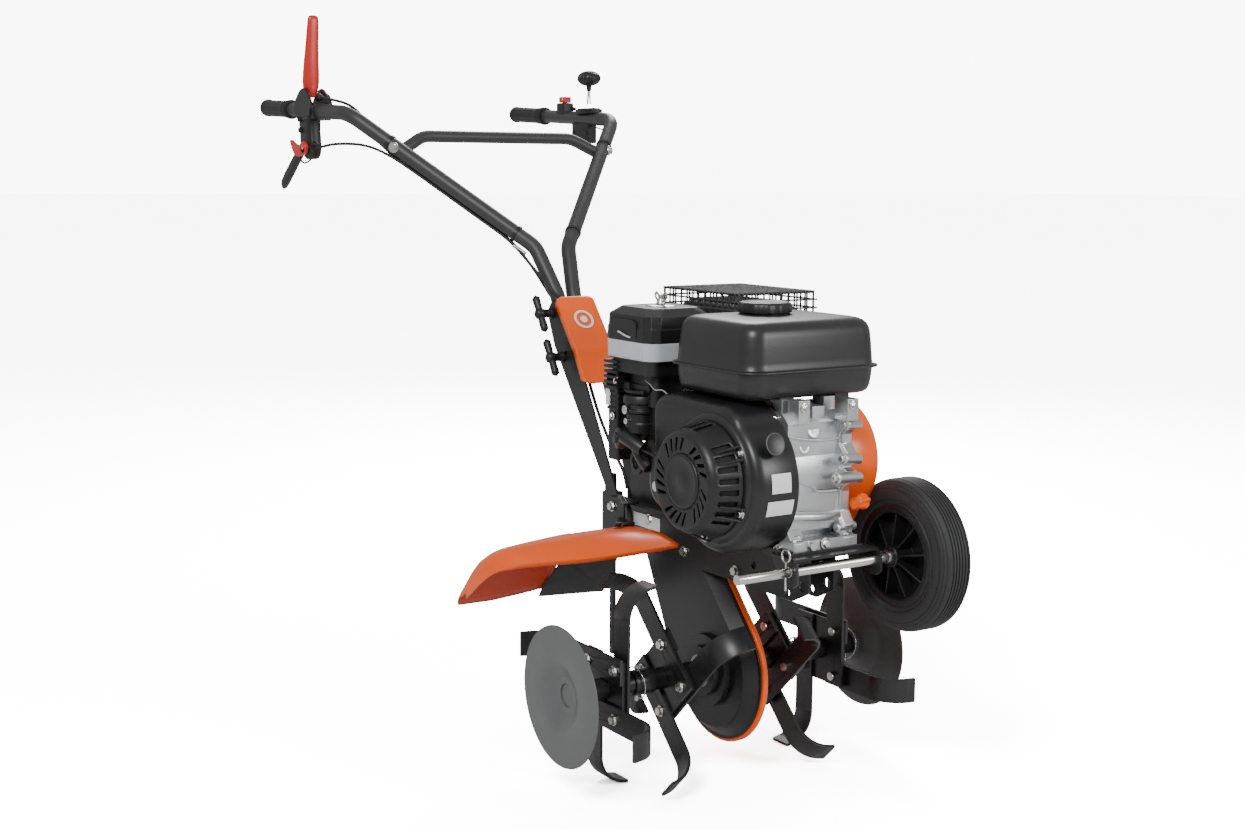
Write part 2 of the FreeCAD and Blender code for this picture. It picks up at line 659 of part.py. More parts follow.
def air_cleaner_cover():
    solid = rounded_box(AIR_X[0] - 2, AIR_X[1] + 2, AIR_Y[0] - 2, AIR_Y[1] + 2, 713, 764, 24)
    top_edges = [e for e in solid.Edges if e.BoundBox.ZMin > 763.9]
    solid = solid.makeChamfer(13, top_edges)
    inside = rounded_box(AIR_X[0] + 2, AIR_X[1] - 2, AIR_Y[0] + 2, AIR_Y[1] - 2, 710, 748, 18)
    return solid.cut(inside).cut(rod((-50, -84, 700), (-50, -84, 780), 3.3))


def wing_nut():
    nut = rod((-50, -84, 764.5), (-50, -84, 767), 20).fuse(rod((-50, -84, 767), (-50, -84, 777), 6))
    wings = [rod((-50 + s * 5, -84, 772), (-50 + s * 13, -84, 786), 2.2) for s in (-1, 1)]
    return nut.fuse(wings).cut(rod((-50, -84, 760), (-50, -84, 778.3), 3.05))


def carburettor():
    body = box(-62, -12, -118, -66, 560, 612)
    bowl = rod((-36, -94, 528), (-36, -94, 560), 22)
    throat = rod((-36, -66, 588), (-36, -40, 588), 20)
    stack = rounded_box(-80, -6, -124, -60, 612, 662, 12)
    return body.fuse([bowl, throat, stack])


def intake_duct():
    """Ribbed breather duct down the outer rear corner of the air cleaner."""
    duct = rounded_box(-118, -90, -138, -96, 520, 662, 5)
    ribs = [rounded_box(-120, -88, -140, -94, z, z + 3, 5) for z in range(600, 656, 9)]
    return duct.fuse(ribs).cut(box(-80, 0, -160, -60, 500, 700))


def choke_lever():
    hub_part = rod((-20, -128, 640), (-20, -124.3, 640), 6)
    arm = box(-70, -20, -128, -125, 636, 644)
    tab = box(-76, -62, -134, -125, 634, 646)
    return hub_part.fuse([arm, tab])


def muffler():
    can = rounded_box(-150, 26, 6, 140, 700, 766, 20, 14, 10)
    slots = [box(x, x + 4, 30, 116, 762, 768) for x in range(-130, 16, 14)]
    return can.cut(slots)


def muffler_guard():
    """Wire basket over the muffler: crossed wires on top and down the sides."""
    x0, x1, y0, y1, z0, z1 = -162, 38, -4, 150, 744, 785
    wires = []
    for k in range(13):
        x = x0 + (x1 - x0) * k / 12
        wires.append(box(x - 1.1, x + 1.1, y0, y1, z1 - 2.2, z1))
        for y in (y0, y1 - 2.2):
            wires.append(box(x - 1.1, x + 1.1, y, y + 2.2, z0, z1))
    for k in range(10):
        y = y0 + 1.1 + (y1 - y0 - 2.2) * k / 9
        wires.append(box(x0 - 1.1, x1 + 1.1, y - 1.1, y + 1.1, z1 - 2.2, z1))
        for x in (x0, x1):
            wires.append(box(x - 1.1, x + 1.1, y - 1.1, y + 1.1, z0, z1))
    for z in (z0, z0 + 13, z0 + 26):
        for y in (y0, y1 - 2.2):
            wires.append(box(x0, x1, y, y + 2.2, z, z + 2.2))
        for x in (x0, x1):
            wires.append(box(x - 1.1, x + 1.1, y0, y1, z, z + 2.2))
    feet = [box(x, x + 12, y, y + 10, z0, z0 + 3) for x in (-120, -10) for y in (140, -4)]
    return wires[0].fuse(wires[1:] + feet)


def dipstick():
    return rod((262, 49, 493), (282, 54.5, 500), 11)


# ---------------------------------------------------------------- drive
def belt_cover():
    """Far-side cover: round over the engine pulley, cut level with the deck in front."""
    def outline(grow):
        round_part = teardrop((CRANK[0] - 6, CRANK[1] + 4), 88 + grow, CASE_HIGH, 92 + grow, 0, 10)
        toe = polygon_y([(254 + grow, 530), (196 + grow, 438 - grow), (60, 438 - grow), (60, 530)], 0, 10)
        return round_part, toe

    def solid(grow, y0, y1):
        shapes = []
        for piece in outline(grow):
            piece.translate(V(0, y0, 0))
            shapes.append(piece)
        first = shapes[0].fuse(shapes[1]).removeSplitter()
        face = [f for f in first.Faces if abs(f.CenterOfMass.y - y0) < 0.01][0]
        return face.extrude(V(0, y1 - y0, 0))

    shell = solid(0, *COVER_Y).cut(solid(-2.5, COVER_Y[0] + 2.5, COVER_Y[1] - 2.5))
    holes = [disc_y(CRANK, 40, 60, 34), disc_y(CASE_HIGH, 40, 60, 25)]
    return shell.cut(holes).fuse(disc_y(IDLER_PIVOT, 50, 66, 5.0))


def pulley(centre, r, y0, y1, bore):
    """V-belt pulley with its groove."""
    x, z = centre
    half = (y1 - y0) / 2
    profile = [(bore, y0), (r, y0), (r, y0 + 2), (r - 9, y0 + half - 3), (r - 9, y0 + half + 3),
               (r, y1 - 2), (r, y1), (bore, y1)]
    ring = [V(x + p, q, z) for p, q in profile] + [V(x + bore, y0, z)]
    return Part.Face(Part.makePolygon(ring)).revolve(V(x, 0, z), V(0, 1, 0), 360)


def drive_belt():
    outer = teardrop(CASE_HIGH, DRIVEN_PULLEY_R + 1, CRANK, ENGINE_PULLEY_R + 1, BELT_Y[0] + 6, BELT_Y[1] - 6)
    inner = teardrop(CASE_HIGH, DRIVEN_PULLEY_R - 5.5, CRANK, ENGINE_PULLEY_R - 5.5, BELT_Y[0], BELT_Y[1])
    return outer.cut(inner)


def idler_arm():
    """Tensioner arm with its roller under the slack side of the belt."""
    arm = teardrop(IDLER_PIVOT, 9, IDLER, 7, 58, 62)
    pin = disc_y(IDLER, 62, 80, 5)
    roller = disc_y(IDLER, 66, 79, 10.5)
    return arm.fuse([pin, roller]).cut(disc_y(IDLER_PIVOT, 50, 70, 5.05))


def crankshaft():
    shaft = disc_y(CRANK, -58, 94, 9.5)
    flywheel = disc_y(CRANK, -130, -82, 84).cut(disc_y(CRANK, -131, -96, 66))
    vanes = []
    for k in range(16):
        vane = box(67, 83, -142, -130, -1.5, 1.5)
        vane.rotate(V(0, 0, 0), V(0, 1, 0), 22.5 * k)
        vane.translate(V(CRANK[0], 0, CRANK[1]))
        vanes.append(vane)
    cheeks = [disc_y(CRANK, y, y + 14, 44) for y in (-44, -8)]
    nose = disc_y(CRANK, -96, -58, 12)
    return shaft.fuse([flywheel, nose] + cheeks + vanes)


# ---------------------------------------------------------------- handlebar
LOWER_BEND = (-527.0, 34.0, 834.0)
BRACE_X = -708.0


def handlebar_tube(bore):
    """Right tube: grip, outer bend, slope to the middle, lower bend, end in the column."""
    end = (CLAMP[0] + 14, -TUBE_GAP_Y, CLAMP[1] - 27)
    points = [(GRIP_END + 4, -GRIP_Y, tube_point(GRIP_END + 4)), (BEND_X, -GRIP_Y, BEND_Z),
              (LOWER_BEND[0], -LOWER_BEND[1], LOWER_BEND[2]), (-479, -TUBE_GAP_Y, 751), end]
    tube = tube_along(points, [62, 50, 60], TUBE_R, bore)
    holes = [disc_y(PIVOT, -60, 60, STUD_R + 0.06), disc_y(CLAMP, -60, 60, STUD_R + 0.06)]
    return tube.cut(holes)


def cross_brace():
    """Thinner tube between the arms, bent down to each of them."""
    points = [(-706, -214, 1001), (-725, -158, 1031), (-725, 158, 1031), (-706, 214, 1001)]
    return tube_along(points, [50, 50], 11, 9.5)


def brace_bolt():
    """Hexagon bolt and washer on the front of the right arm, where the brace is fastened."""
    share = (BRACE_X - BEND_X) / (LOWER_BEND[0] - BEND_X)
    centre = V(BRACE_X, -GRIP_Y + share * (GRIP_Y - LOWER_BEND[1]), BEND_Z + share * (LOWER_BEND[2] - BEND_Z))
    outward = V(0.69, -0.72, 0).normalize()
    washer = Part.makeCylinder(9.5, 3.0, centre + outward * 12.0, outward)
    head = Part.makeCylinder(6.5, 5.0, centre + outward * 15.0, outward)
    return washer.fuse(head)


def grip(y_sign):
    slope = (BEND_Z - GRIP_Z) / (BEND_X - GRIP_END)
    direction = V(1, 0, slope).normalize()
    start = V(GRIP_END, -GRIP_Y, GRIP_Z)
    body = Part.makeCylinder(16.5, 128, start, direction)
    flange = Part.makeCylinder(19, 6, start + direction * 128, direction)
    bore = Part.makeCylinder(TUBE_R, 140, start + direction * 4, direction)
    grooves = []
    for k in range(10):
        a = math.radians(36 * k)
        offset = V(0, 17.6 * math.cos(a), 17.6 * math.sin(a))
        grooves.append(Part.makeCylinder(1.8, 96, start + direction * 16 + offset, direction))
    return body.cut(grooves).fuse(flange).cut(bore)


def tube_point(x):
    """Centre height of the grip line at x."""
    return GRIP_Z + (x - GRIP_END) * (BEND_Z - GRIP_Z) / (BEND_X - GRIP_END)


def control_bracket():
    """Clamp housing of the right-hand levers, round the tube."""
    z = tube_point(-935)
    upper = rounded_profile([(-975, z - 16), (-900, z - 16), (-902, z + 8), (-925, z + 38), (-958, z + 36),
                             (-985, z + 10)], -GRIP_Y - 20, -GRIP_Y + 20)
    lower = rounded_profile([(-984, z - 14), (-922, z - 14), (-918, z - 60), (-924, z - 88), (-950, z - 92),
                             (-984, z - 66)], -GRIP_Y - 14, -GRIP_Y + 14)
    bore = rod((-1100, -GRIP_Y, tube_point(-1100)), (-800, -GRIP_Y, tube_point(-800)), TUBE_R)
    slot_up = box(-1000, -890, -GRIP_Y - 8, -GRIP_Y + 8, z + 14, z + 60)
    slot_low = box(-1010, -900, -GRIP_Y - 6, -GRIP_Y + 6, z - 110, z - 30)
    return upper.fuse(lower).cut([bore, slot_up, slot_low])


def rounded_profile(points, y0, y1, r=5.0):
    solid = polygon_y(points, y0, y1)
    across = [e for e in solid.Edges if abs(e.tangentAt(e.FirstParameter).y) > 0.9]
    return solid.makeFillet(r, across)


CLUTCH_PIVOT = (-938.0, 1112.0)
REVERSE_PIVOT = (-938.0, 1010.0)


def clutch_lever():
    x, z = CLUTCH_PIVOT
    neck = rounded_profile([(x - 10, z - 6), (x + 9, z - 6), (x + 11, z + 40), (x - 9, z + 40)],
                           -GRIP_Y - 7, -GRIP_Y + 7, 3.0)
    foot = [V(x + dx, -GRIP_Y + dy, z + 33) for dx, dy in ((-10, -17), (8, -17), (8, 13), (-10, 13))]
    tip = [V(x + dx, -GRIP_Y + dy, z + 144) for dx, dy in ((4, -10), (14, -10), (14, 10), (4, 10))]
    paddle = Part.makeLoft([Part.makePolygon(ring + ring[:1]) for ring in (foot, tip)], True, True)
    paddle = paddle.makeFillet(3.5, paddle.Edges)
    return neck.fuse(paddle).cut(disc_y(CLUTCH_PIVOT, -400, -200, 3.05))


def reverse_lever():
    x, z = REVERSE_PIVOT
    outline = [(x + 8, z + 7), (x - 4, z + 10), (x - 40, z + 14), (x - 54, z + 10), (x - 164, z - 64),
               (x - 158, z - 82), (x - 146, z - 84), (x - 44, z - 4), (x - 20, z - 6), (x + 4, z - 9)]
    paddle = rounded_profile(outline, -GRIP_Y - 5.5, -GRIP_Y + 5.5, 3.0)
    return paddle.cut(disc_y(REVERSE_PIVOT, -400, -200, 3.05))


def lever_latch():
    """Hooked safety catch on the outside of the reverse lever."""
    x, z = REVERSE_PIVOT
    y1 = -GRIP_Y - 14.4
    outer = rounded_profile([(x - 6, z + 11), (x + 10, z + 9), (x + 9, z - 12), (x - 20, z - 17), (x - 46, z - 5),
                             (x - 64, z + 20), (x - 52, z + 24), (x - 38, z + 10), (x - 24, z + 5)], y1 - 7, y1, 3.0)
    return outer.cut(disc_y(REVERSE_PIVOT, -400, -200, 3.05))


def lever_pins():
    """Pivot pins of the two levers, in the control bracket."""
    return [disc_y(CLUTCH_PIVOT, -GRIP_Y - 20, -GRIP_Y + 20, 3.0),
            disc_y(REVERSE_PIVOT, -GRIP_Y - 23, -GRIP_Y + 14, 3.0)]


def left_control_housings():
    """Stop switch body, the slotted speed-lever base and the cable box under the tube."""
    z = tube_point(-960)
    switch = rounded_profile([(-974, z + 6), (-944, z + 6), (-944, z + 29), (-974, z + 29)],
                             GRIP_Y - 12, GRIP_Y + 12, 2.0)
    zb = tube_point(-864)
    base = Part.makeCylinder(34, 9, V(-864, GRIP_Y, zb + 12), V(0, 0, 1))
    base.translate(V(864, -GRIP_Y, 0))
    stretch = FreeCAD.Matrix(1.15, 0, 0, -864, 0, 0.62, 0, GRIP_Y, 0, 0, 1, 0, 0, 0, 0, 1)
    base = base.transformGeometry(stretch)
    base = base.cut(box(-884, -844, GRIP_Y - 3, GRIP_Y + 3, zb + 12, zb + 30))
    under = box(-914, -850, GRIP_Y - 11, GRIP_Y + 11, zb - 50, zb - 8)
    bore = rod((-1100, GRIP_Y, tube_point(-1100)), (-800, GRIP_Y, tube_point(-800)), TUBE_R)
    return [s.cut(bore) for s in (switch, base, under)]


SPEED_PIVOT = (-864.0, 1084.0)


def stop_button():
    z = tube_point(-960)
    knob = rod((-959, GRIP_Y, z + 29.6), (-959, GRIP_Y, z + 42), 12)
    lobes = [rod((-959 + 12 * math.cos(a), GRIP_Y + 12 * math.sin(a), z + 29),
                 (-959 + 12 * math.cos(a), GRIP_Y + 12 * math.sin(a), z + 43), 2.0)
             for a in (2 * math.pi * k / 9 for k in range(9))]
    return knob.cut(lobes)


def speed_knob():
    """Oval ribbed knob on a forked wire stem."""
    x, z = SPEED_PIVOT
    ball = Part.makeSphere(14)
    stretch = FreeCAD.Matrix(1.65, 0, 0, x, 0, 1.4, 0, GRIP_Y, 0, 0, 0.95, z + 72, 0, 0, 0, 1)
    ball = ball.transformGeometry(stretch)
    neck = rod((x, GRIP_Y, z + 46), (x, GRIP_Y, z + 66), 5)
    legs = [rod((x + s * 5, GRIP_Y, z + 20), (x + s * 1.8, GRIP_Y, z + 50), 1.7) for s in (-1, 1)]
    return ball.fuse([neck] + legs)


def t_knob(centre):
    """T-handle with its stud, clamping the column on the handlebar."""
    x, z = centre
    y = -COLUMN_IN - SIDE_T
    stud = disc_y(centre, y - 12, COLUMN_IN + SIDE_T + 10, STUD_R)
    head = disc_y(centre, COLUMN_IN + SIDE_T + 0.4, COLUMN_IN + SIDE_T + 6, 9)
    hub_part = rod((x, y - 22, z), (x, y - 0.4, z), 9)
    lean = (-18.0, 30.0)
    bar = rod((x - lean[0], y - 24, z - lean[1]), (x + lean[0], y - 24, z + lean[1]), 7.5)
    return stud.fuse([head, hub_part, bar])


# ---------------------------------------------------------------- wheel
def wheel_axle():
    axle = disc_y(WHEEL, AXLE_END, WHEEL_Y[1] + 8, WHEEL_AXLE_R)
    stop = disc_y(WHEEL, WHEEL_Y[0] - 8, WHEEL_Y[0] - 4, 11, WHEEL_AXLE_R)
    cap = disc_y(WHEEL, WHEEL_Y[1] + 2, WHEEL_Y[1] + 6, 12, WHEEL_AXLE_R)
    x, z = WHEEL
    axle = axle.cut([disc_y(WHEEL, -103, -93, WHEEL_AXLE_R + 1, WHEEL_AXLE_R - 0.8),
                     rod((x, -98, z - 20), (x, -98, z + 20), 1.6)])
    clip = rod((x, -98, z - 26), (x, -98, z + 16), 1.6)
    ring = Part.makeTorus(9, 1.6, V(x, -98, z + 24), V(0, 1, 0))
    return [axle.fuse([stop, cap]), clip.fuse(ring)]


def wheel_rim():
    hub_part = disc_y(WHEEL, WHEEL_Y[0] - 3, WHEEL_Y[1], 15, WHEEL_AXLE_R + 0.08)
    ring = disc_y(WHEEL, WHEEL_Y[0] + 6, WHEEL_Y[1] - 6, 74, 62)
    lip = disc_y(WHEEL, WHEEL_Y[0] + 4, WHEEL_Y[0] + 9, 78, 62)
    lip_far = disc_y(WHEEL, WHEEL_Y[1] - 9, WHEEL_Y[1] - 4, 78, 62)
    web = disc_y(WHEEL, 126, 130, 64, 14)
    spokes = []
    for k in range(9):
        spoke = box(12, 64, WHEEL_Y[0] + 8, WHEEL_Y[1] - 8, -1.5, 1.5)
        spoke.rotate(V(0, 0, 0), V(0, 1, 0), 40 * k)
        spoke.translate(V(WHEEL[0], 0, WHEEL[1]))
        spokes.append(spoke)
    solid = hub_part.fuse([ring, lip, lip_far, web] + spokes)
    return solid.cut(disc_y(WHEEL, 80, 180, WHEEL_AXLE_R + 0.08))


def tyre():
    x, z = WHEEL
    y0, y1 = WHEEL_Y
    profile = [(74, y0 + 9), (78, y0 + 9), (78, y0 + 3), (86, y0), (98, y0 + 2), (109, y0 + 12),
               (WHEEL_R, y0 + 24), (WHEEL_R, y1 - 24), (109, y1 - 12), (98, y1 - 2), (86, y1), (78, y1 - 3),
               (78, y1 - 9), (74, y1 - 9)]
    ring = [V(x + p, q, z) for p, q in profile] + [V(x + 74, y0 + 9, z)]
    return Part.Face(Part.makePolygon(ring)).revolve(V(x, 0, z), V(0, 1, 0), 360)


# ---------------------------------------------------------------- cables
def arm_side(share, ahead, below):
    """Point beside the right arm: a share of its length, then offsets ahead of and below its centre."""
    corner = V(BEND_X, -GRIP_Y, BEND_Z)
    foot = V(LOWER_BEND[0], -LOWER_BEND[1], LOWER_BEND[2])
    along = (foot - corner).normalize()
    front = V(along.y, -along.x, 0).normalize()
    spot = corner + (foot - corner) * share + front * ahead + along.cross(front) * below
    return tuple(spot)


def cables():
    """Two lever cables and the stop wire, held along the tubes down to the column."""
    z = tube_point(-900)
    clutch = [(-898, -288, z + 26), (-850, -287, z + 21), (-806, -270, z + 12), (-771, -260, 1070),
              arm_side(0.09, -18, 6), arm_side(0.17, -13, 13), arm_side(0.28, -5, 17.8), arm_side(0.4, -4.6, 16.2),
              arm_side(0.9, -4.6, 16.4), (-530, -38, 798), (-498, -20, 748)]
    reverse = [(-918, -290, z - 68), (-883, -290, z - 66), (-842, -288, z - 62), (-801, -284, z - 61),
               (-764, -270, z - 62), (-738, -252, z - 68), arm_side(0.26, 3, 18), arm_side(0.38, 2.4, 16.7),
               arm_side(0.9, 2.4, 16.9), (-508, -51, 800), (-470, -38, 765), (-452, -18, 738)]
    stop = [(-943, 299, z + 14), (-925, 303, z + 4), (-895, 303, z - 14), (-850, 302, z - 22),
            (-800, 290, 1050), (-770, 268, 1036)]
    routes = [tube_along(points, cord_radii(points), 2.6) for points in (clutch, reverse)]
    return routes + [tube_along(stop, cord_radii(stop), 1.5)]


def lower_cable():
    route = [(-412, 0, 640), (-396, 0, 600), (-370, 3, 548), (-335, 8, 495), (-300, 12, 455), (-290, 12, 428)]
    return tube_along(route, cord_radii(route), 3.0)


# ---------------------------------------------------------------- build
def build_frame():
    right = side_plate()
    left = mirror(right)
    bolts = frame_bolts()
    keep("side_plates", group(right.cut(bolts), left.cut(bolts)))
    keep("engine_plate", engine_plate())
    keep("wheel_bracket", wheel_bracket())
    keep("column_cover", column_cover())
    keep("stake_socket", stake_socket())
    keep("depth_stake", depth_stake())
    keep("frame_bolts", group(*bolts))


def build_chain_case():
    keep("chain_case_right", chain_case_half(-1, 2.0, 2.5))
    keep("chain_case_left", chain_case_half(1, 6.0, 4.0))
    keep("shaft_bearings", shaft_bearings())
    keep("drive_chain", drive_chain())
    keep("tine_shaft", tine_shaft())
    sprocket = toothed_disc(CASE_HIGH, 24, -3, 3, 12, 3.4)
    shaft = disc_y(CASE_HIGH, -17, 90, 8.5).fuse(sprocket)
    keep("input_shaft", group(shaft, pulley(CASE_HIGH, DRIVEN_PULLEY_R, *BELT_Y, 8.5)))


def build_tines():
    hubs = [inner_hub(), outer_hub()]
    keep("tine_hubs", group(*hubs, *[mirror(h) for h in hubs]))
    for name, plate_y, turned in (("inner_blades", -INNER_PLATE_Y, True), ("outer_blades", -OUTER_PLATE_Y, False)):
        blades = blade_set(plate_y, turned)
        keep(name, group(*blades, *[mirror(b) for b in blades]))
    bolts = blade_bolts()
    keep("blade_bolts", group(*bolts, *[mirror(b) for b in bolts]))
    pins = hitch_pins()
    keep("hitch_pins", group(*pins, *[mirror(p) for p in pins]))
    disc = soil_disc()
    keep("soil_discs", group(disc, mirror(disc)))


def build_fenders():
    keep("fenders", group(fender(), fender_left()))
    struts = list(fender_struts())
    keep("fender_struts", group(struts[0].cut(fender()), struts[1].cut(fender_left())))
    curtains = [curtain(-62).cut([fender()] + struts), mirror(curtain(-106)).cut([fender_left()] + struts)]
    keep("fender_curtains", group(*[max(c.Solids, key=lambda solid: solid.Volume) for c in curtains]))


def build_engine():
    case = crankcase()
    tank_space = box(32, 256, -142, 130, 649, 700)
    head = cylinder_head().cut([case, carburettor(), air_cleaner_base(), muffler(), tank_space])
    head = max(head.Solids, key=lambda solid: solid.Volume)
    keep("crankcase", case)
    keep("crankcase_cover", crankcase_cover())
    keep("cylinder_head", head)
    keep("fan_cover", fan_cover())
    keep("recoil_housing", recoil_housing())
    keep("starter_handle", starter_handle())
    keep("air_cleaner_base", air_cleaner_base())
    keep("air_cleaner_cover", air_cleaner_cover())
    keep("wing_nut", wing_nut())
    keep("carburettor", carburettor().cut(intake_duct()))
    keep("choke_lever", choke_lever())
    keep("fuel_tank", fuel_tank())
    keep("fuel_cap", fuel_cap())
    keep("muffler", muffler())
    keep("muffler_guard", muffler_guard().cut(muffler()))
    keep("dipstick", dipstick())
    engine_pulley = pulley(CRANK, ENGINE_PULLEY_R, *BELT_Y, 9.5)
    keep("crankshaft", group(crankshaft(), engine_pulley))


def build_drive():
    keep("belt_cover", belt_cover())
    keep("drive_belt", drive_belt())
    keep("idler_arm", idler_arm())


def build_handlebar():
    right = handlebar_tube(TUBE_BORE)
    left = mirror(right)
    solid_bar = handlebar_tube(0)
    brace = cross_brace().cut([solid_bar, mirror(solid_bar)])
    brace = max(brace.Solids, key=lambda solid: solid.Volume)
    bolt = brace_bolt().cut(solid_bar)
    keep("handlebar_tubes", group(right, left))
    keep("cross_brace", brace)
    keep("grips", group(grip(-1), mirror(grip(-1))))
    pins = lever_pins()
    keep("control_bracket", control_bracket().cut(pins))
    keep("handlebar_bolts", group(bolt, mirror(bolt), *pins))
    keep("clutch_lever", clutch_lever())
    keep("reverse_lever", reverse_lever())
    keep("lever_latch", lever_latch())
    keep("left_control_housings", group(*left_control_housings()))
    keep("stop_button", stop_button())
    keep("speed_knob", speed_knob())
    keep("t_knob_upper", t_knob(PIVOT))
    keep("t_knob_lower", t_knob(CLAMP))
    keep("control_cables", group(*cables()))
    keep("lower_cable", lower_cable())


def build_wheel():
    keep("wheel_axle", group(*wheel_axle()))
    keep("wheel_rim", wheel_rim())
    keep("tyre", tyre())


def main():
    os.makedirs("parts", exist_ok=True)
    for step in (build_frame, build_chain_case, build_tines, build_fenders, build_engine, build_drive,
                 build_handlebar, build_wheel):
        step()
    for name, shape in sorted(PARTS.items()):
        placed = shape.copy()
        placed.translate(V(SHIFT_X, 0, SHIFT_Z))
        placed.exportStep("parts/" + name + ".step")
        print(name, len(placed.Solids), "solids", round(placed.Volume / 1000.0, 1), "cm3",
              "" if placed.isValid() else "INVALID")
    print(len(PARTS), "nodes")


main()
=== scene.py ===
"""Looks of the garden tiller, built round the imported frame."""

import json
from math import acos, atan2, copysign, cos, pi, radians, sin, sqrt
import bpy
import bmesh
from mathutils import Matrix, Vector


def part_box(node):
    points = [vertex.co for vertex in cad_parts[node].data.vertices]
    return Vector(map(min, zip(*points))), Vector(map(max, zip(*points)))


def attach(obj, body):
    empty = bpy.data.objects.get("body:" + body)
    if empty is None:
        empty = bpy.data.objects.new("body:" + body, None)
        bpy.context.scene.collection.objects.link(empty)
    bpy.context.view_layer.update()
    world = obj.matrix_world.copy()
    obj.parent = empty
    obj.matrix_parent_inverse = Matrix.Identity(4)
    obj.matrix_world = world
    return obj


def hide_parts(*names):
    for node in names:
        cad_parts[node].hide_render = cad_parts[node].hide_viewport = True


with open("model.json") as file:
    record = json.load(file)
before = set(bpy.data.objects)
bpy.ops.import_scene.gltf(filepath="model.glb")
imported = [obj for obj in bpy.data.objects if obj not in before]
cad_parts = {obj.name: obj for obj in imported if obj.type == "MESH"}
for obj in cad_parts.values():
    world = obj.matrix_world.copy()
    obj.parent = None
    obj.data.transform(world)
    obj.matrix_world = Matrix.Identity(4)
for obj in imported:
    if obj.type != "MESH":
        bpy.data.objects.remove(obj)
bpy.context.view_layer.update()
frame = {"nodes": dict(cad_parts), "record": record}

# Sizes are in millimetres of the machine frame: X = 0 and AXLE_Z are the tine axle.
AXLE_Z = 186.0

# Camera, light and floor
CAMERA_PLACE = (2099.0, -1540.0, 971.0)
CAMERA_HEADING = 57.17
CAMERA_PITCH = 8.29
CAMERA_ROLL = 0.38
CAMERA_LENS = 48.52
SOFT_LIGHT = 0.55           # even light from all round
BACKDROP_WHITE = 9.0        # what the camera sees behind the object
FLOOR_TONE = 0.7            # floor as the object sees it
FLOOR_LIFT = 14.0           # keeps the seen floor as white as the backdrop
FLOOR_REACH = 60.0          # metres from the middle to each side

# Finishes
CLOUD_SCALE = 14.0          # slow change of tone over a surface
EDGE_FROM, EDGE_TO = 0.52, 0.62    # pointiness where wear on an edge starts and is full

# Engine: X and Y ranges of the tank and the air cleaner, XZ centres of the fan cover and the starter cup
TANK_X = (42.5, 242.0)
TANK_Y = (-131.0, 111.0)
CAP_SPOT = (128.0, -19.0)
AIR_X = (-119.0, 12.0)
AIR_Y = (-145.0, -22.0)
AIR_STUD = (-50.0, -84.0)
FAN = (183.0, 531.0)
DRUM_R = 107.0
CUP = (181.0, 536.0)
ROUND_STEPS = 180
SCREW_ANGLES = (32, -26, -94, 150)
MUFFLER = ((-152.0, 28.0), (4.0, 142.0))
GUARD = ((-162.0, 38.0), (-4.0, 150.0), (744.0, 784.5))
GUARD_WIRE = 1.6
WIRES_ACROSS = 25
WIRES_ALONG = 19

# Fender: Y of each station, then (X, Z) of the front edge, crown, knee and low edge
FENDER_STATIONS = [
    (-66, (-20, 391), (-96, 400), (-150, 396), (-164, 386)),
    (-130, (-58, 378), (-122, 397), (-168, 393), (-246, 294)),
    (-180, (-98, 366), (-152, 390), (-196, 384), (-256, 284)),
    (-245, (-150, 356), (-188, 378), (-230, 367), (-292, 266)),
    (-275, (-176, 350), (-206, 369), (-248, 356), (-312, 260)),
    (-292, (-206, 336), (-228, 351), (-266, 337), (-319, 258)),
    (-301, (-242, 310), (-254, 321), (-284, 306), (-321, 258)),
    (-303.5, (-286, 276), (-292, 283), (-304, 275), (-317, 263)),
]
FENDER_END = 303.5
LIP_FROM = 26.0             # the rolled lip grows over this much of the outer end
REAR_WALL_FROM = 164.0      # inboard of this the fender is only a top, without its rear wall

# Column cover, chain case, soil discs and wheel: centres are (X, Z)
COVER_LINE = [(-448, 750), (-384, 671), (-376, 663), (-372, 654), (-346, 607)]
COVER_HALF = 39.0
COVER_CORNER = 11.0
CASE_LOW = (0.0, AXLE_Z)
CASE_HIGH = (-185.0, 455.0)
CASE_RIM = (118.0, 73.0)    # radii of the rim at the low and the high end
DISC_Y = 281.0
WHEEL = (290.0, 413.0)
WHEEL_MIDDLE = 129.0
SPOKES = 9

# Handlebar: grips run from GRIP_END to the bend, arms from the bend to ARM_FOOT; pivots are (X, Z)
GRIP_Y = 285.0
GRIP_END = -1172.0
GRIP_Z = 1091.0
BEND_X = -772.0
BEND_Z = 1071.0
ARM_FOOT = (-527.0, -34.0, 834.0)
CLUTCH_PIVOT = (-938.0, 1112.0)
REVERSE_PIVOT = (-938.0, 1010.0)
BUTTON_X = -959.0
SPEED_X = -864.0
SPEED_Z = 1084.0
T_KNOBS = (("upper", -463.0, 720.0), ("lower", -425.0, 646.0))
T_KNOB_Y = -37.0

# Directions
UP = (0, 0, 1)
DOWN = (0, 0, -1)
RIGHT = (0, -1, 0)
LEFT = (0, 1, 0)
AHEAD = (1, 0, 0)

AXLE_LOW, AXLE_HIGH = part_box("tine_shaft")
SHIFT_X = (AXLE_LOW.x + AXLE_HIGH.x) / 2
SHIFT_Z = (AXLE_LOW.z + AXLE_HIGH.z) / 2 - AXLE_Z / 1000


def at(x, y, z):
    """A point of the machine frame, in millimetres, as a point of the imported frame, in metres."""
    return Vector((x / 1000 + SHIFT_X, y / 1000, z / 1000 + SHIFT_Z))


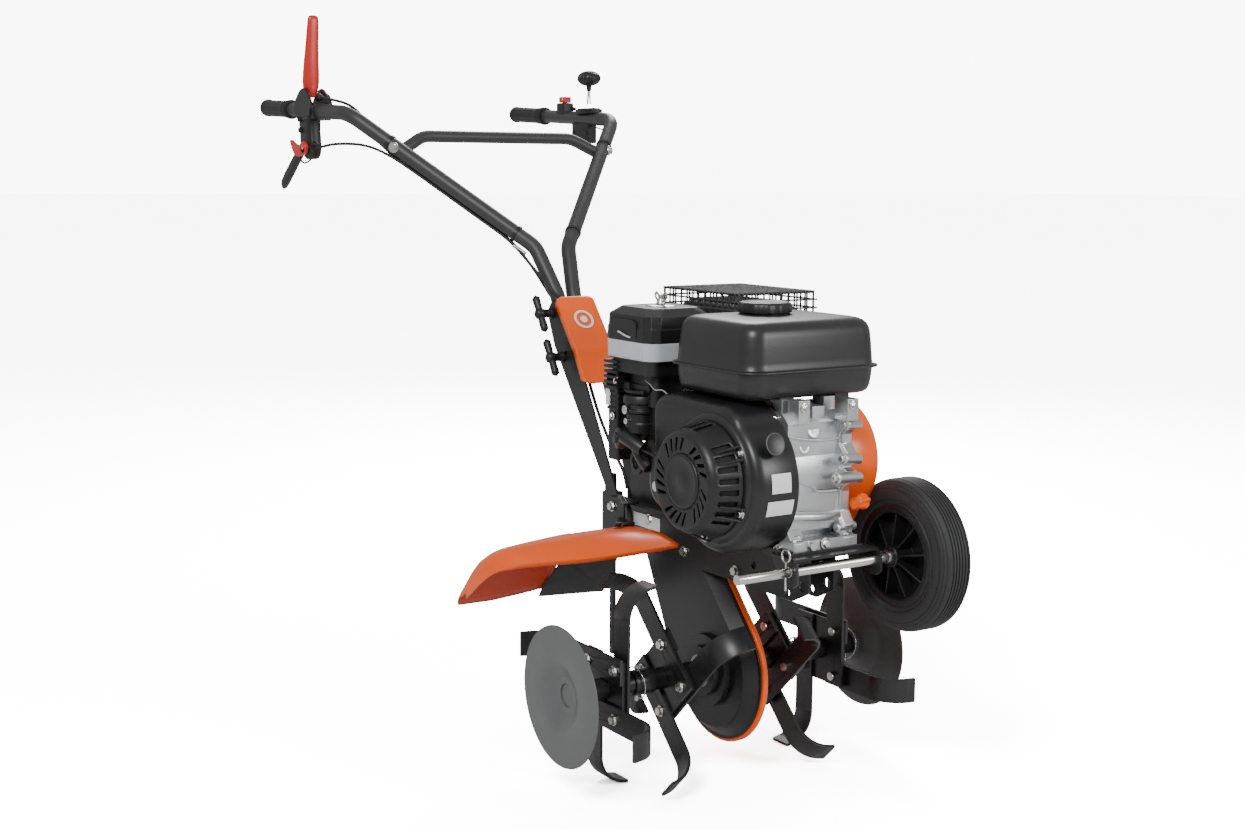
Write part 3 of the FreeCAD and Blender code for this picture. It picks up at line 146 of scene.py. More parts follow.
# ---- camera, light and floor
def add_camera():
    heading = radians(CAMERA_HEADING)
    pitch = radians(CAMERA_PITCH)
    level = cos(pitch)
    forward = Vector((-sin(heading) * level, cos(heading) * level, -sin(pitch)))
    data = bpy.data.cameras.new("camera")
    data.lens = CAMERA_LENS
    data.sensor_width = 36.0
    camera = bpy.data.objects.new("camera", data)
    bpy.context.scene.collection.objects.link(camera)
    turn = forward.to_track_quat("-Z", "Y").to_matrix().to_4x4()
    roll = Matrix.Rotation(radians(CAMERA_ROLL), 4, "Z")
    camera.matrix_world = Matrix.Translation(at(*CAMERA_PLACE)) @ turn @ roll
    bpy.context.scene.camera = camera


def add_area(name, place, aim, size, power):
    data = bpy.data.lights.new(name, "AREA")
    data.shape = "DISK"
    data.size = size
    data.energy = power
    light = bpy.data.objects.new(name, data)
    light.location = place
    light.rotation_euler = (Vector(aim) - Vector(place)).to_track_quat("-Z", "Y").to_euler()
    bpy.context.scene.collection.objects.link(light)


def add_node(tree, kind, values=()):
    """Shader node of a kind, with values on its inputs."""
    made = tree.nodes.new("ShaderNode" + kind)
    for socket, value in dict(values).items():
        made.inputs[socket].default_value = value
    return made


def floor_material():
    """White studio floor: it is shown overexposed, and lights the object as a plain pale floor does."""
    made = bpy.data.materials.new("floor_white")
    made.use_nodes = True
    tree, links = made.node_tree, made.node_tree.links
    tree.nodes.remove(tree.nodes["Principled BSDF"])
    seen = add_node(tree, "LightPath")
    mixed = add_node(tree, "MixShader")
    plain = add_node(tree, "BsdfDiffuse", {"Color": (FLOOR_TONE, FLOOR_TONE, FLOOR_TONE, 1.0)})
    lifted = add_node(tree, "BsdfDiffuse", {"Color": (FLOOR_LIFT, FLOOR_LIFT, FLOOR_LIFT, 1.0)})
    links.new(seen.outputs["Is Camera Ray"], mixed.inputs["Fac"])
    links.new(plain.outputs["BSDF"], mixed.inputs[1])
    links.new(lifted.outputs["BSDF"], mixed.inputs[2])
    links.new(mixed.outputs["Shader"], tree.nodes["Material Output"].inputs["Surface"])
    return made


def add_studio():
    world = bpy.data.worlds.new("studio")
    world.use_nodes = True
    tree = world.node_tree
    backdrop = tree.nodes["Background"]
    backdrop.inputs["Color"].default_value = (1.0, 1.0, 1.0, 1.0)
    seen = add_node(tree, "LightPath")
    level = add_node(tree, "MapRange", {"To Min": SOFT_LIGHT, "To Max": BACKDROP_WHITE})
    tree.links.new(seen.outputs["Is Camera Ray"], level.inputs["Value"])
    tree.links.new(level.outputs["Result"], backdrop.inputs["Strength"])
    bpy.context.scene.world = world
    add_area("key", (2.4, -2.8, 3.2), (0.2, 0.0, 0.5), 1.2, 120)
    add_area("side", (3.2, 1.2, 1.6), (0.2, 0.0, 0.4), 1.0, 40)
    add_area("back", (-2.2, 1.8, 2.8), (0.0, 0.0, 0.5), 1.4, 60)
    floor_mesh = bpy.data.meshes.new("floor")
    corners = [(FLOOR_REACH * x, FLOOR_REACH * y, 0) for x, y in ((-1, -1), (1, -1), (1, 1), (-1, 1))]
    floor_mesh.from_pydata(corners, [], [(0, 1, 2, 3)])
    floor = bpy.data.objects.new("floor", floor_mesh)
    bpy.context.scene.collection.objects.link(floor)
    floor_mesh.materials.append(floor_material())


# ---- materials
def scaled(color, factor, lift=0.0):
    """Colour with alpha, made lighter or darker."""
    return (*[min(1.0, max(0.0, c * factor + lift)) for c in color], 1.0)


def surface(name, color, rough, metal, grain, bump, tone, spread=0.06, dust=0.0):
    """Procedural finish: fine grain as bump, slow cloudy tone and roughness, dust on worn edges."""
    made = bpy.data.materials.new(name)
    made.use_nodes = True
    tree, links = made.node_tree, made.node_tree.links
    shader = tree.nodes["Principled BSDF"]
    shader.inputs["Base Color"].default_value = (*color, 1.0)
    shader.inputs["Roughness"].default_value = rough
    shader.inputs["Metallic"].default_value = metal
    place = add_node(tree, "TexCoord")
    slow = add_node(tree, "TexNoise", {"Scale": CLOUD_SCALE, "Detail": 5.0})
    links.new(place.outputs["Object"], slow.inputs["Vector"])
    shade = add_node(tree, "MixRGB", {"Color1": scaled(color, 1 - tone * 2),
        "Color2": scaled(color, 1 + tone * 2)})
    links.new(slow.outputs["Fac"], shade.inputs["Fac"])
    out_color = shade.outputs["Color"]
    if dust > 0:
        geometry = add_node(tree, "NewGeometry")
        edge = add_node(tree, "MapRange", {"From Min": EDGE_FROM, "From Max": EDGE_TO, "To Max": dust})
        links.new(geometry.outputs["Pointiness"], edge.inputs["Value"])
        worn = add_node(tree, "MixRGB", {"Color2": scaled(color, 2.2, 0.03)})
        links.new(edge.outputs["Result"], worn.inputs["Fac"])
        links.new(out_color, worn.inputs["Color1"])
        out_color = worn.outputs["Color"]
    links.new(out_color, shader.inputs["Base Color"])
    ranged = add_node(tree, "MapRange",
        {"To Min": max(0.02, rough - spread), "To Max": min(1.0, rough + spread)})
    links.new(slow.outputs["Fac"], ranged.inputs["Value"])
    links.new(ranged.outputs["Result"], shader.inputs["Roughness"])
    fine = add_node(tree, "TexNoise", {"Scale": grain, "Detail": 3.0})
    links.new(place.outputs["Object"], fine.inputs["Vector"])
    relief = add_node(tree, "Bump", {"Strength": bump, "Distance": 0.001})
    links.new(fine.outputs["Fac"], relief.inputs["Height"])
    links.new(relief.outputs["Normal"], shader.inputs["Normal"])
    return made


# Colour, roughness, metal, grain, bump and tone, then spread of roughness and dust where they differ
LOOKS = {
    "orange_paint": ((0.93, 0.105, 0.0), 0.30, 0.0, 260, 0.03, 0.03),
    "black_paint": ((0.010, 0.010, 0.011), 0.36, 0.0, 500, 0.08, 0.15, 0.06, 0.5),
    "tube_grey": ((0.032, 0.032, 0.034), 0.42, 0.0, 1400, 0.22, 0.12),
    "zinc": ((0.66, 0.65, 0.62), 0.25, 1.0, 700, 0.05, 0.1),
    "bare_steel": ((0.42, 0.42, 0.42), 0.34, 1.0, 600, 0.06, 0.1),
    "alloy": ((0.60, 0.61, 0.62), 0.36, 1.0, 420, 0.34, 0.16, 0.12),
    "black_plastic": ((0.009, 0.009, 0.010), 0.40, 0.0, 1100, 0.16, 0.12),
    "tank_black": ((0.016, 0.016, 0.017), 0.36, 0.0, 650, 0.10, 0.12),
    "grey_plastic": ((0.52, 0.53, 0.55), 0.45, 0.0, 900, 0.08, 0.03),
    "red_plastic": ((0.62, 0.018, 0.012), 0.30, 0.0, 900, 0.06, 0.06),
    "disc_grey": ((0.105, 0.108, 0.11), 0.40, 0.0, 700, 0.08, 0.08),
    "rubber": ((0.010, 0.010, 0.010), 0.55, 0.0, 800, 0.18, 0.12),
    "tyre": ((0.020, 0.020, 0.021), 0.62, 0.0, 500, 0.25, 0.15),
    # darker, redder orange for the fender's inner side: painted shade, since the underside lies in shadow
    "orange_painted_shade": ((0.55, 0.04, 0.0), 0.30, 0.0, 260, 0.03, 0.05),
    "white_label": ((0.80, 0.80, 0.80), 0.38, 0.0, 900, 0.02, 0.02),
    # near-black, rough colour for the sheet inside the starter housing: painted shade
    "painted_shade_black": ((0.004, 0.004, 0.004), 0.8, 0.0, 300, 0.05, 0.1),
}
FINISH = {name: surface(name, *look) for name, look in LOOKS.items()}


def add_rounds(piece, width, angle):
    """Small rounds, in millimetres, on the edges sharper than an angle."""
    rounds = piece.modifiers.new("edge_rounds", "BEVEL")
    rounds.width = width / 1000
    rounds.segments = 2
    rounds.limit_method = "ANGLE"
    rounds.angle_limit = radians(angle)


def paint_cad_nodes():
    """Each carried-over CAD node gets the finish of its slot, a weld of its split vertices and small edge
    rounds.
    """
    slots = {entry["node"]: entry["material_slot"] for entry in frame["record"]["subparts"]}
    for name, piece in frame["nodes"].items():
        for place in range(len(piece.data.materials)):
            piece.data.materials[place] = FINISH[slots[name]]
        if not piece.data.materials:
            piece.data.materials.append(FINISH[slots[name]])
        weld = piece.modifiers.new("weld", "WELD")
        weld.merge_threshold = 0.00001
        add_rounds(piece, 0.6, 38)


# ---- mesh helpers, in machine millimetres
def skin(build, rings, first=True, last=True, closed=True):
    """Quads between rings of points, with flat ends where asked."""
    loops = [[build.verts.new(at(*point)) for point in ring] for ring in rings]
    for low, high in zip(loops, loops[1:]):
        count = len(low)
        for k in range(count if closed else count - 1):
            after = (k + 1) % count
            build.faces.new((low[k], low[after], high[after], high[k]))
    if first:
        build.faces.new(loops[0][::-1])
    if last:
        build.faces.new(loops[-1])


def cross_axes(axis):
    """The axis and two directions square to it."""
    along = Vector(axis).normalized()
    side = along.cross(Vector(UP) if abs(along.z) < 0.9 else Vector(AHEAD)).normalized()
    return along, side, along.cross(side).normalized()


def turns(steps):
    """Angles of one full turn in equal steps."""
    return [2 * pi * k / steps for k in range(steps)]


def circle(centre, axis, radius, steps, wave=0.0, lobes=0):
    """Ring of points round an axis, with optional lobes."""
    _, side, other = cross_axes(axis)
    ring = []
    for angle in turns(steps):
        reach = radius * (1 + wave * cos(lobes * angle)) if lobes else radius
        ring.append(Vector(centre) + side * (reach * cos(angle)) + other * (reach * sin(angle)))
    return ring


def lathe(build, centre, axis, profile, steps=40, wave=0.0, lobes=0, ends=True):
    """Surface turned round an axis: profile holds (distance along, radius)."""
    along = Vector(axis).normalized()
    rings = [circle(Vector(centre) + along * d, axis, max(r, 0.05), steps, wave, lobes) for d, r in profile]
    skin(build, rings, ends, ends)


def bar(build, a, b, radius, steps=14, edge=0.5):
    """Round bar between two points, with chamfered ends."""
    run = Vector(b) - Vector(a)
    lathe(build, a, run, [(0, radius - edge), (edge, radius), (run.length - edge, radius),
        (run.length, radius - edge)], steps)


def curve_points(points, steps=6):
    """Catmull-Rom points through a few given ones."""
    spots = [Vector(p) for p in points]
    spots = [spots[0] * 2 - spots[1]] + spots + [spots[-1] * 2 - spots[-2]]
    out = []
    for a, b, c, d in zip(spots, spots[1:], spots[2:], spots[3:]):
        for k in range(steps):
            t = k / steps
            out.append(0.5 * ((2 * b) + (c - a) * t + (2 * a - 5 * b + 4 * c - d) * t * t
                + (3 * b - a - 3 * c + d) * t * t * t))
    out.append(spots[-2])
    return out


def bent_bar(build, points, radius, steps=10, smooth=6):
    """Round bar along a smooth line through the points."""
    line = curve_points(points, smooth) if smooth else [Vector(p) for p in points]
    _, side, _ = cross_axes(line[1] - line[0])
    rings = []
    for k, spot in enumerate(line):
        run = (line[min(k + 1, len(line) - 1)] - line[max(k - 1, 0)]).normalized()
        side = (side - run * side.dot(run)).normalized()
        other = run.cross(side)
        rings.append([spot + side * (radius * cos(a)) + other * (radius * sin(a)) for a in turns(steps)])
    skin(build, rings)


def rounded_rect(x0, x1, y0, y1, radius, z, steps=7):
    """Ring of points of a rectangle with round corners at height z."""
    radius = min(radius, (x1 - x0) / 2 - 0.5, (y1 - y0) / 2 - 0.5)
    ring = []
    for cx, cy, start in ((x1 - radius, y1 - radius, 0), (x0 + radius, y1 - radius, 90),
            (x0 + radius, y0 + radius, 180), (x1 - radius, y0 + radius, 270)):
        for k in range(steps + 1):
            angle = radians(start + 90 * k / steps)
            ring.append((cx + radius * cos(angle), cy + radius * sin(angle), z))
    return ring


def block(build, low, high):
    (x0, y0, z0), (x1, y1, z1) = low, high
    skin(build, [[(x0, y0, z), (x1, y0, z), (x1, y1, z), (x0, y1, z)] for z in (z0, z1)])


def slab(build, outline, y0, y1):
    """Flat plate with an outline of (x, z) points, between two Y planes."""
    skin(build, [[(x, y, z) for x, z in outline] for y in (y0, y1)])


def hex_head(build, centre, axis, across, height):
    """Bolt head with its washer, standing out along axis from centre."""
    along = Vector(axis).normalized()
    spot = Vector(centre)
    lathe(build, spot, axis, [(0, across * 0.80), (1.0, across * 0.80), (1.3, across * 0.72)], 20)
    low, high = spot + along * 1.3, spot + along * (height + 1.3)
    corner = across / 2 / cos(radians(30))
    skin(build, [circle(low, axis, corner, 6), circle(high - along * 0.8, axis, corner, 6),
        circle(high, axis, corner * 0.86, 6)])


def turn_xz(centre, radius, angle):
    """X and Z of a point round a centre in the XZ plane."""
    return centre[0] + radius * cos(angle), centre[1] + radius * sin(angle)


def finish_piece(name, build, body, slot, stands_for=(), bevel=0.0, angle=32, finish=None, solid=0.0):
    """Turns the collected faces into a piece with its finish, riding on a body.

    bevel rounds sharp edges, angle says what is sharp, and solid gives a sheet its thickness.
    """
    bmesh.ops.recalc_face_normals(build, faces=build.faces[:])
    mesh = bpy.data.meshes.new(name)
    build.to_mesh(mesh)
    build.free()
    mesh.shade_smooth()
    mesh.set_sharp_from_angle(angle=radians(angle))
    piece = bpy.data.objects.new(name, mesh)
    bpy.context.scene.collection.objects.link(piece)
    mesh.materials.append(finish or FINISH[slot])
    if solid:
        wall = piece.modifiers.new("wall", "SOLIDIFY")
        wall.thickness = solid / 1000
        wall.offset = -1.0
    if bevel:
        add_rounds(piece, bevel, angle)
    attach(piece, body)
    if stands_for:
        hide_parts(*stands_for)
    return piece


def frame_piece(name, build, slot, stands_for=(), **looks):
    """A piece that rides on the frame."""
    return finish_piece(name, build, "frame", slot, stands_for, **looks)


# ---- fuel tank and air cleaner
def inset_rings(x_range, y_range, levels, steps=7):
    """Rounded rectangles for (height, inset, corner radius) levels."""
    (x0, x1), (y0, y1) = x_range, y_range
    return [rounded_rect(x0 + inset, x1 - inset, y0 + inset, y1 - inset, radius, z, steps)
            for z, inset, radius in levels]


def add_tank():
    """Two pressed halves with a rolled seam, domed top and round shoulders."""
    build = bmesh.new()
    levels = [(649, 24, 14), (649.6, 15, 20), (651.4, 9.5, 25), (655, 5.4, 28), (661, 3.0, 30),
        (673, 1.2, 31), (686, 0, 32), (688, -1, 32), (688.3, -6.2, 36), (689.2, -7.2, 37),
        (690.8, -7.2, 37), (691.7, -6.2, 36), (692, -1, 32), (693.5, 0, 32), (704, 0.6, 32),
        (722, 2.0, 31), (738, 3.6, 30), (746, 5.2, 29), (752, 8.0, 28), (756.6, 12.4, 26),
        (759.6, 18.5, 24), (761.2, 27, 22), (762.4, 42, 20), (763.2, 66, 18)]
    skin(build, inset_rings(TANK_X, TANK_Y, levels))
    lathe(build, (*CAP_SPOT, 758), UP, [(0, 40), (4.4, 38), (5.2, 33.5), (7.0, 33), (7.2, 31)], 48)
    for y in (-58, 44):
        block(build, (214, y - 13, 642), (234, y + 13, 654))
    frame_piece("fuel_tank_shell", build, "tank_black", ["fuel_tank"], angle=50)


def add_fuel_cap():
    build = bmesh.new()
    centre = (*CAP_SPOT, 764.5)
    lathe(build, centre, UP, [(0, 36.5), (0.8, 39.2), (2, 39.6), (12.5, 39.2), (14.8, 37.8), (16, 35),
        (16.3, 31), (15.4, 29.5), (15.4, 8), (16.0, 6.5), (16.0, 1)], 96, 0.028, 12)
    finish_piece("fuel_cap_lobed", build, "fuel_cap", "black_plastic", ["fuel_cap"], bevel=0.3, angle=40)


def add_air_cleaner():
    cover = bmesh.new()
    levels = [(713, 2, 18), (713.4, -2, 20), (733, -1.2, 20), (733.8, -0.4, 20), (752, 0.6, 20),
        (763.6, 15, 20), (764, 19, 18), (764.3, 46, 12)]
    skin(cover, inset_rings(AIR_X, AIR_Y, levels, 2))
    skin(cover, [[(x, y, z) for x, z in ((-88, 718), (-24, 718), (-24, 742), (-34, 746), (-88, 746))]
        for y in (AIR_Y[0] + 6, AIR_Y[0] - 2.8)])
    frame_piece("air_cleaner_lid", cover, "black_plastic", ["air_cleaner_cover"], bevel=1.6, angle=14)
    band = bmesh.new()
    skin(band,
        inset_rings(AIR_X, AIR_Y, [(684.5, 1, 20), (685, -1.0, 22), (711.8, -1.6, 22), (712.6, 0.4, 20)]))
    for x in (-98, -62, -28):
        block(band, (x, AIR_Y[0] - 2.2, 687), (x + 22, AIR_Y[0] + 2, 710))
    frame_piece("air_cleaner_band", band, "grey_plastic", bevel=0.8)
    latch = bmesh.new()
    bent_bar(latch, [(-72, -147.8, 724.5), (-68, -150, 726), (-54, -150.4, 722.5), (-42, -150, 720),
        (-38, -147.8, 719)], 1.5, 8)
    frame_piece("air_cleaner_latch", latch, "grey_plastic")
    washer = bmesh.new()
    lathe(washer, (*AIR_STUD, 763.6), UP, [(0, 24), (1.2, 24), (2.2, 22), (2.6, 14), (3.6, 8), (4.2, 5)], 36)
    frame_piece("air_cleaner_washer", washer, "zinc")
    wing = bmesh.new()
    lathe(wing, (*AIR_STUD, 767.8), UP, [(0, 7.5), (5, 6.2), (8, 4.5), (8.5, 3.2), (13.5, 3), (14, 2)], 20)
    loop = [(4, 771), (10, 773), (15.5, 779), (13, 784.5), (7.5, 781), (4, 775)]
    for side in (-1, 1):
        bent_bar(wing, [(AIR_STUD[0] + side * out, AIR_STUD[1], z) for out, z in loop], 1.7, 8)
    finish_piece("wing_nut_bent", wing, "wing_nut", "zinc", ["wing_nut"])


# ---- fan cover and recoil starter
def fan_reach(angle):
    """Distance from the fan's centre to the cover's outline in a direction of the XZ plane."""
    outline = [(50, 646), (28, 636), (22, 624), (22, 562), (9, 520), (8, 500), (18, 478), (40, 466),
        (96, 443), (150, 440), (236, 440), (250, 480), (250, 610), (232, 634), (206, 645)]
    dx, dz = cos(angle), sin(angle)
    best = DRUM_R
    for (ax, az), (bx, bz) in zip(outline, outline[1:] + outline[:1]):
        ax, az, bx, bz = ax - FAN[0], az - FAN[1], bx - FAN[0], bz - FAN[1]
        slope = dx * (bz - az) - dz * (bx - ax)
        if abs(slope) < 1e-9:
            continue
        t = (ax * (bz - az) - az * (bx - ax)) / slope
        s = (ax * dz - az * dx) / slope
        if t > 0 and 0 <= s <= 1:
            best = max(best, t)
    return best


def add_fan_cover():
    """Pressed drum with a wing towards the carburettor, round face edge and a dished centre."""
    angles = turns(ROUND_STEPS)
    raw = [fan_reach(angle) for angle in angles]
    for _ in range(2):
        raw = [(raw[k - 1] + 2 * raw[k] + raw[(k + 1) % ROUND_STEPS]) / 4 for k in range(ROUND_STEPS)]

    def ring(y, inset, share=0.0):
        """Outline at y, drawn in by inset and pulled towards the dish's circle by share."""
        out = []
        for full, angle in zip(raw, angles):
            x, z = turn_xz(FAN, (full - inset) * (1 - share) + 94.0 * share, angle)
            out.append((x, y, z))
        return out

    build = bmesh.new()
    skin(build, [ring(-77, 3), ring(-77.4, 0), ring(-79, 0), ring(-80.5, 1.2), ring(-132, 2.0),
        ring(-139, 3.0), ring(-144.5, 5.8), ring(-148, 10), ring(-149.6, 15), ring(-150, 19),
        ring(-149.6, 20, 0.5), ring(-148.6, 22, 1.0)])
    lathe(build, (285, -118, 597), (0.97, 0, 0.25), [(0, 16.5), (1.6, 16.5), (2.0, 15.2), (1.6, 14),
        (1.6, 1)], 32)
    frame_piece("fan_cover_drum", build, "black_paint", ["fan_cover"], angle=42)
    heads = bmesh.new()
    hex_head(heads, (234, -78, 622), (0.4, 0, 0.9), 10, 5)
    hex_head(heads, (246, -78, 440), (0.75, 0, -0.65), 10, 5)
    frame_piece("fan_cover_bolts", heads, "zinc", bevel=0.3)
    dot = bmesh.new()
    lathe(dot, (36, -147.5, 500), RIGHT, [(0, 8), (2.2, 8), (2.9, 6.8), (2.9, 1)], 28)
    frame_piece("fan_cover_stud", dot, "grey_plastic")
    label = bmesh.new()
    for low, high, y0, y1 in ((-2, 13, -124, -90), (-20, -8, -130, -84)):
        rows = []
        for degrees in range(low, high + 1):
            x, z = turn_xz(FAN, DRUM_R - 0.9, radians(degrees))
            rows.append([(x, y0, z), (x, y1, z)])
        skin(label, rows, False, False, closed=False)
    frame_piece("fan_cover_labels", label, "grey_plastic", finish=FINISH["white_label"])


def add_recoil():
    """Starter housing: rim, slotted wall, curved louvres and a plain raised centre disc."""
    axle = (CUP[0], 0, CUP[1])
    rim = bmesh.new()
    lathe(rim, axle, RIGHT, [(147, 95), (152, 94), (154.5, 91), (155.5, 87), (155, 83.5), (153, 82),
        (153, 78)], 90, ends=False)
    frame_piece("recoil_rim", rim, "black_paint", ["recoil_housing"], angle=40)
    wall = bmesh.new()
    rows = [(85, -152), (84, -158), (83, -162), (76, -190), (74.6, -195), (72, -199.5), (68.5, -202.4)]
    face = [(67.0, -203.0), (63.5, -203.2), (54, -202.6), (45, -201.8), (39, -201.6)]
    twists = [0.0, 0.0, 0.07, 0.17, 0.20]
    points = []
    for (radius, y), twist in zip(rows + face, [0.0] * len(rows) + twists):
        points.append([])
        for angle in turns(ROUND_STEPS):
            x, z = turn_xz(CUP, radius, angle + twist)
            points[-1].append(wall.verts.new(at(x, y, z)))
    louvre_levels = (len(rows) + 1, len(rows) + 2)
    for level in range(len(points) - 1):
        for k in range(ROUND_STEPS):
            after = (k + 1) % ROUND_STEPS
            side_slot = level == 2 and k % 6 in (2, 3, 4) and k % 60 not in range(26, 36)
            louvre = level in louvre_levels and 6 <= k % 36 <= 29 and (k % 36 - 6) % 7 < 3
            if not side_slot and not louvre:
                wall.faces.new((points[level][k], points[level][after], points[level + 1][after],
                    points[level + 1][k]))
    frame_piece("recoil_louvres", wall, "black_plastic", angle=40, solid=2.4)
    disc = bmesh.new()
    lathe(disc, axle, RIGHT, [(199, 40), (202.0, 39.6), (203.3, 38), (203.8, 35.5), (203.2, 33),
        (202.4, 30), (202.2, 14), (202.8, 12), (203.2, 1)], 72)
    frame_piece("recoil_centre", disc, "black_plastic", angle=45)
    # near-black cone behind the louvres: painted shade standing in for the shadowed inside of the housing
    inside = bmesh.new()
    lathe(inside, axle, RIGHT, [(150, 79), (163, 78.5), (190, 71.5), (195, 67), (196, 1)], 60)
    frame_piece("recoil_painted_shade_sheet", inside, "black_plastic", finish=FINISH["painted_shade_black"])
    heads = bmesh.new()
    for degrees in SCREW_ANGLES:
        x, z = turn_xz(CUP, 88, radians(degrees))
        hex_head(heads, (x, -155, z), RIGHT, 8, 4.5)
    frame_piece("recoil_bolts", heads, "zinc", bevel=0.3)
    ribs = bmesh.new()
    for degrees in SCREW_ANGLES:
        for aside in (-0.11, 0.11):
            x, z = turn_xz(CUP, 77, radians(degrees) + aside)
            foot_x, foot_z = turn_xz(CUP, 92, radians(degrees) + aside)
            bar(ribs, (x, -188, z), (foot_x, -154, foot_z), 1.8, 8)
    frame_piece("recoil_ribs", ribs, "black_plastic")


# ---- muffler and guard
def add_muffler():
    build = bmesh.new()
    levels = [(700, 14, 20), (702, 6, 26), (708, 1, 30), (716, 0, 32), (744, 0, 32), (753, 2.5, 30),
        (760, 8, 27), (764.5, 17, 22), (766, 28, 14)]
    skin(build, inset_rings(*MUFFLER, levels))
    for x in range(-128, 8, 11):
        block(build, (x, 26, 763), (x + 5, 120, 768.5))
    frame_piece("muffler_pressed", build, "bare_steel", ["muffler"], bevel=0.8, angle=40,
        finish=FINISH["black_paint"])


def add_guard():
    """Welded wire basket: closely crossed wires on top, wider ones down the sides."""
    build = bmesh.new()
    (x0, x1), (y0, y1), (z0, z1) = GUARD

    def wire(a, b):
        bar(build, a, b, GUARD_WIRE, 6, 0.2)

    for k in range(WIRES_ACROSS):
        x = x0 + 4 + (x1 - x0 - 8) * k / (WIRES_ACROSS - 1)
        wire((x, y0 - 2, z1), (x, y1 + 2, z1))
        if k % 2 == 0:
            for y in (y0, y1):
                wire((x, y, z0), (x, y, z1))
    for k in range(WIRES_ALONG):
        y = y0 + 4 + (y1 - y0 - 8) * k / (WIRES_ALONG - 1)
        wire((x0 - 2, y, z1 - GUARD_WIRE), (x1 + 2, y, z1 - GUARD_WIRE))
        if k % 2 == 0:
            for x in (x0, x1):
                wire((x, y, z0), (x, y, z1))
    for z in (z0 + 2, z0 + 15, z0 + 28):
        for y in (y0, y1):
            wire((x0 - 4, y, z), (x1 + 4, y, z))
        for x in (x0, x1):
            wire((x, y0 - 4, z), (x, y1 + 4, z))
    frame_piece("muffler_guard_wires", build, "black_paint", ["muffler_guard"])


# ---- fenders and column cover
def fender_grid(side, start):
    """Rows of points over a domed sheet: smooth across the machine and over the crown."""
    knots = [[Vector((x, y, z)) for x, z in rest] for y, *rest in FENDER_STATIONS]
    lines = [curve_points([row[k] for row in knots], 6) for k in range(4)]
    rows = []
    for station in zip(*lines):
        front, crown, knee, low = station
        if -front.y < start:
            continue
        if -front.y < REAR_WALL_FROM:
            low = knee.lerp(low, 0.12)
        fold = min(1.0, max(0.0, (front.y + FENDER_END) / LIP_FROM))
        lip = front + Vector((-3.0, 0, -7.0)) * fold
        row = [lip] + curve_points([front, front.lerp(crown, 0.5) + Vector((0, 0, 3)), crown, knee,
            knee.lerp(low, 0.5) + Vector((-4, 0, 2)), low], 4)
        rows.append([(p.x, -p.y * side, p.z) for p in row])
    return rows


def add_fenders():
    build = bmesh.new()
    for side, start in ((-1, 60), (1, 104)):
        skin(build, fender_grid(side, start), False, False, closed=False)
    sheets = frame_piece("fender_sheets", build, "orange_paint", ["fenders"], angle=50, solid=2.2)
    # the inner side of the fender sheets gets the darker orange: painted shade for the shadowed underside
    sheets.data.materials.append(FINISH["orange_painted_shade"])
    sheets.modifiers["wall"].material_offset = 1
    plugs = bmesh.new()
    for y in (-96, 112):
        hex_head(plugs, (-150, y, 399), (0.05, 0, 1), 10, 5)
    frame_piece("fender_fasteners", plugs, "black_plastic", bevel=0.4)


def add_column_cover():
    """Folded sheet with a pressed step, round corners and turned-back sides."""
    line = [Vector((x, 0, z)) for x, z in COVER_LINE]
    fine = []
    for a, b in zip(line, line[1:]):
        count = max(2, int((b - a).length / 4))
        fine += [a.lerp(b, k / count) for k in range(count)]
    fine.append(line[-1])
    length = sum((b - a).length for a, b in zip(fine, fine[1:]))
    rows, gone = [], 0.0
    for k, spot in enumerate(fine):
        run = (fine[min(k + 1, len(fine) - 1)] - fine[max(k - 1, 0)]).normalized()
        back = Vector((-abs(run.z), 0, -abs(run.x))) * COVER_CORNER
        gap = min(gone, length - gone)
        half = COVER_HALF
        if gap < COVER_CORNER:
            half -= COVER_CORNER - sqrt(COVER_CORNER ** 2 - (COVER_CORNER - gap) ** 2)
        fold = back * min(1.0, gap / COVER_CORNER)
        section = [(1, -half), (0.2, -half), (0, -half + 1.6)]
        section += [(0, half * share) for share in (-0.6, -0.3, 0, 0.3, 0.6)]
        section += [(0, half - 1.6), (0.2, half), (1, half)]
        rows.append([spot + fold * turned + Vector((0, y, 0)) for turned, y in section])
        if k + 1 < len(fine):
            gone += (fine[k + 1] - spot).length
    build = bmesh.new()
    skin(build, rows, False, False, closed=False)
    frame_piece("column_cover_sheet", build, "orange_paint", ["column_cover"], angle=35, solid=1.8)
    badge = bmesh.new()
    normal = Vector((0.78, 0, 0.63)).normalized()
    spot = Vector((-416, 0, 711)) + normal * 0.6
    lathe(badge, spot, normal, [(0, 19), (0.9, 19), (0.9, 14.5), (0, 14.5)], 40, ends=False)
    lathe(badge, spot, normal, [(0, 7), (0.9, 7), (0.9, 1)], 30)
    frame_piece("column_cover_badge", badge, "grey_plastic", finish=FINISH["white_label"])


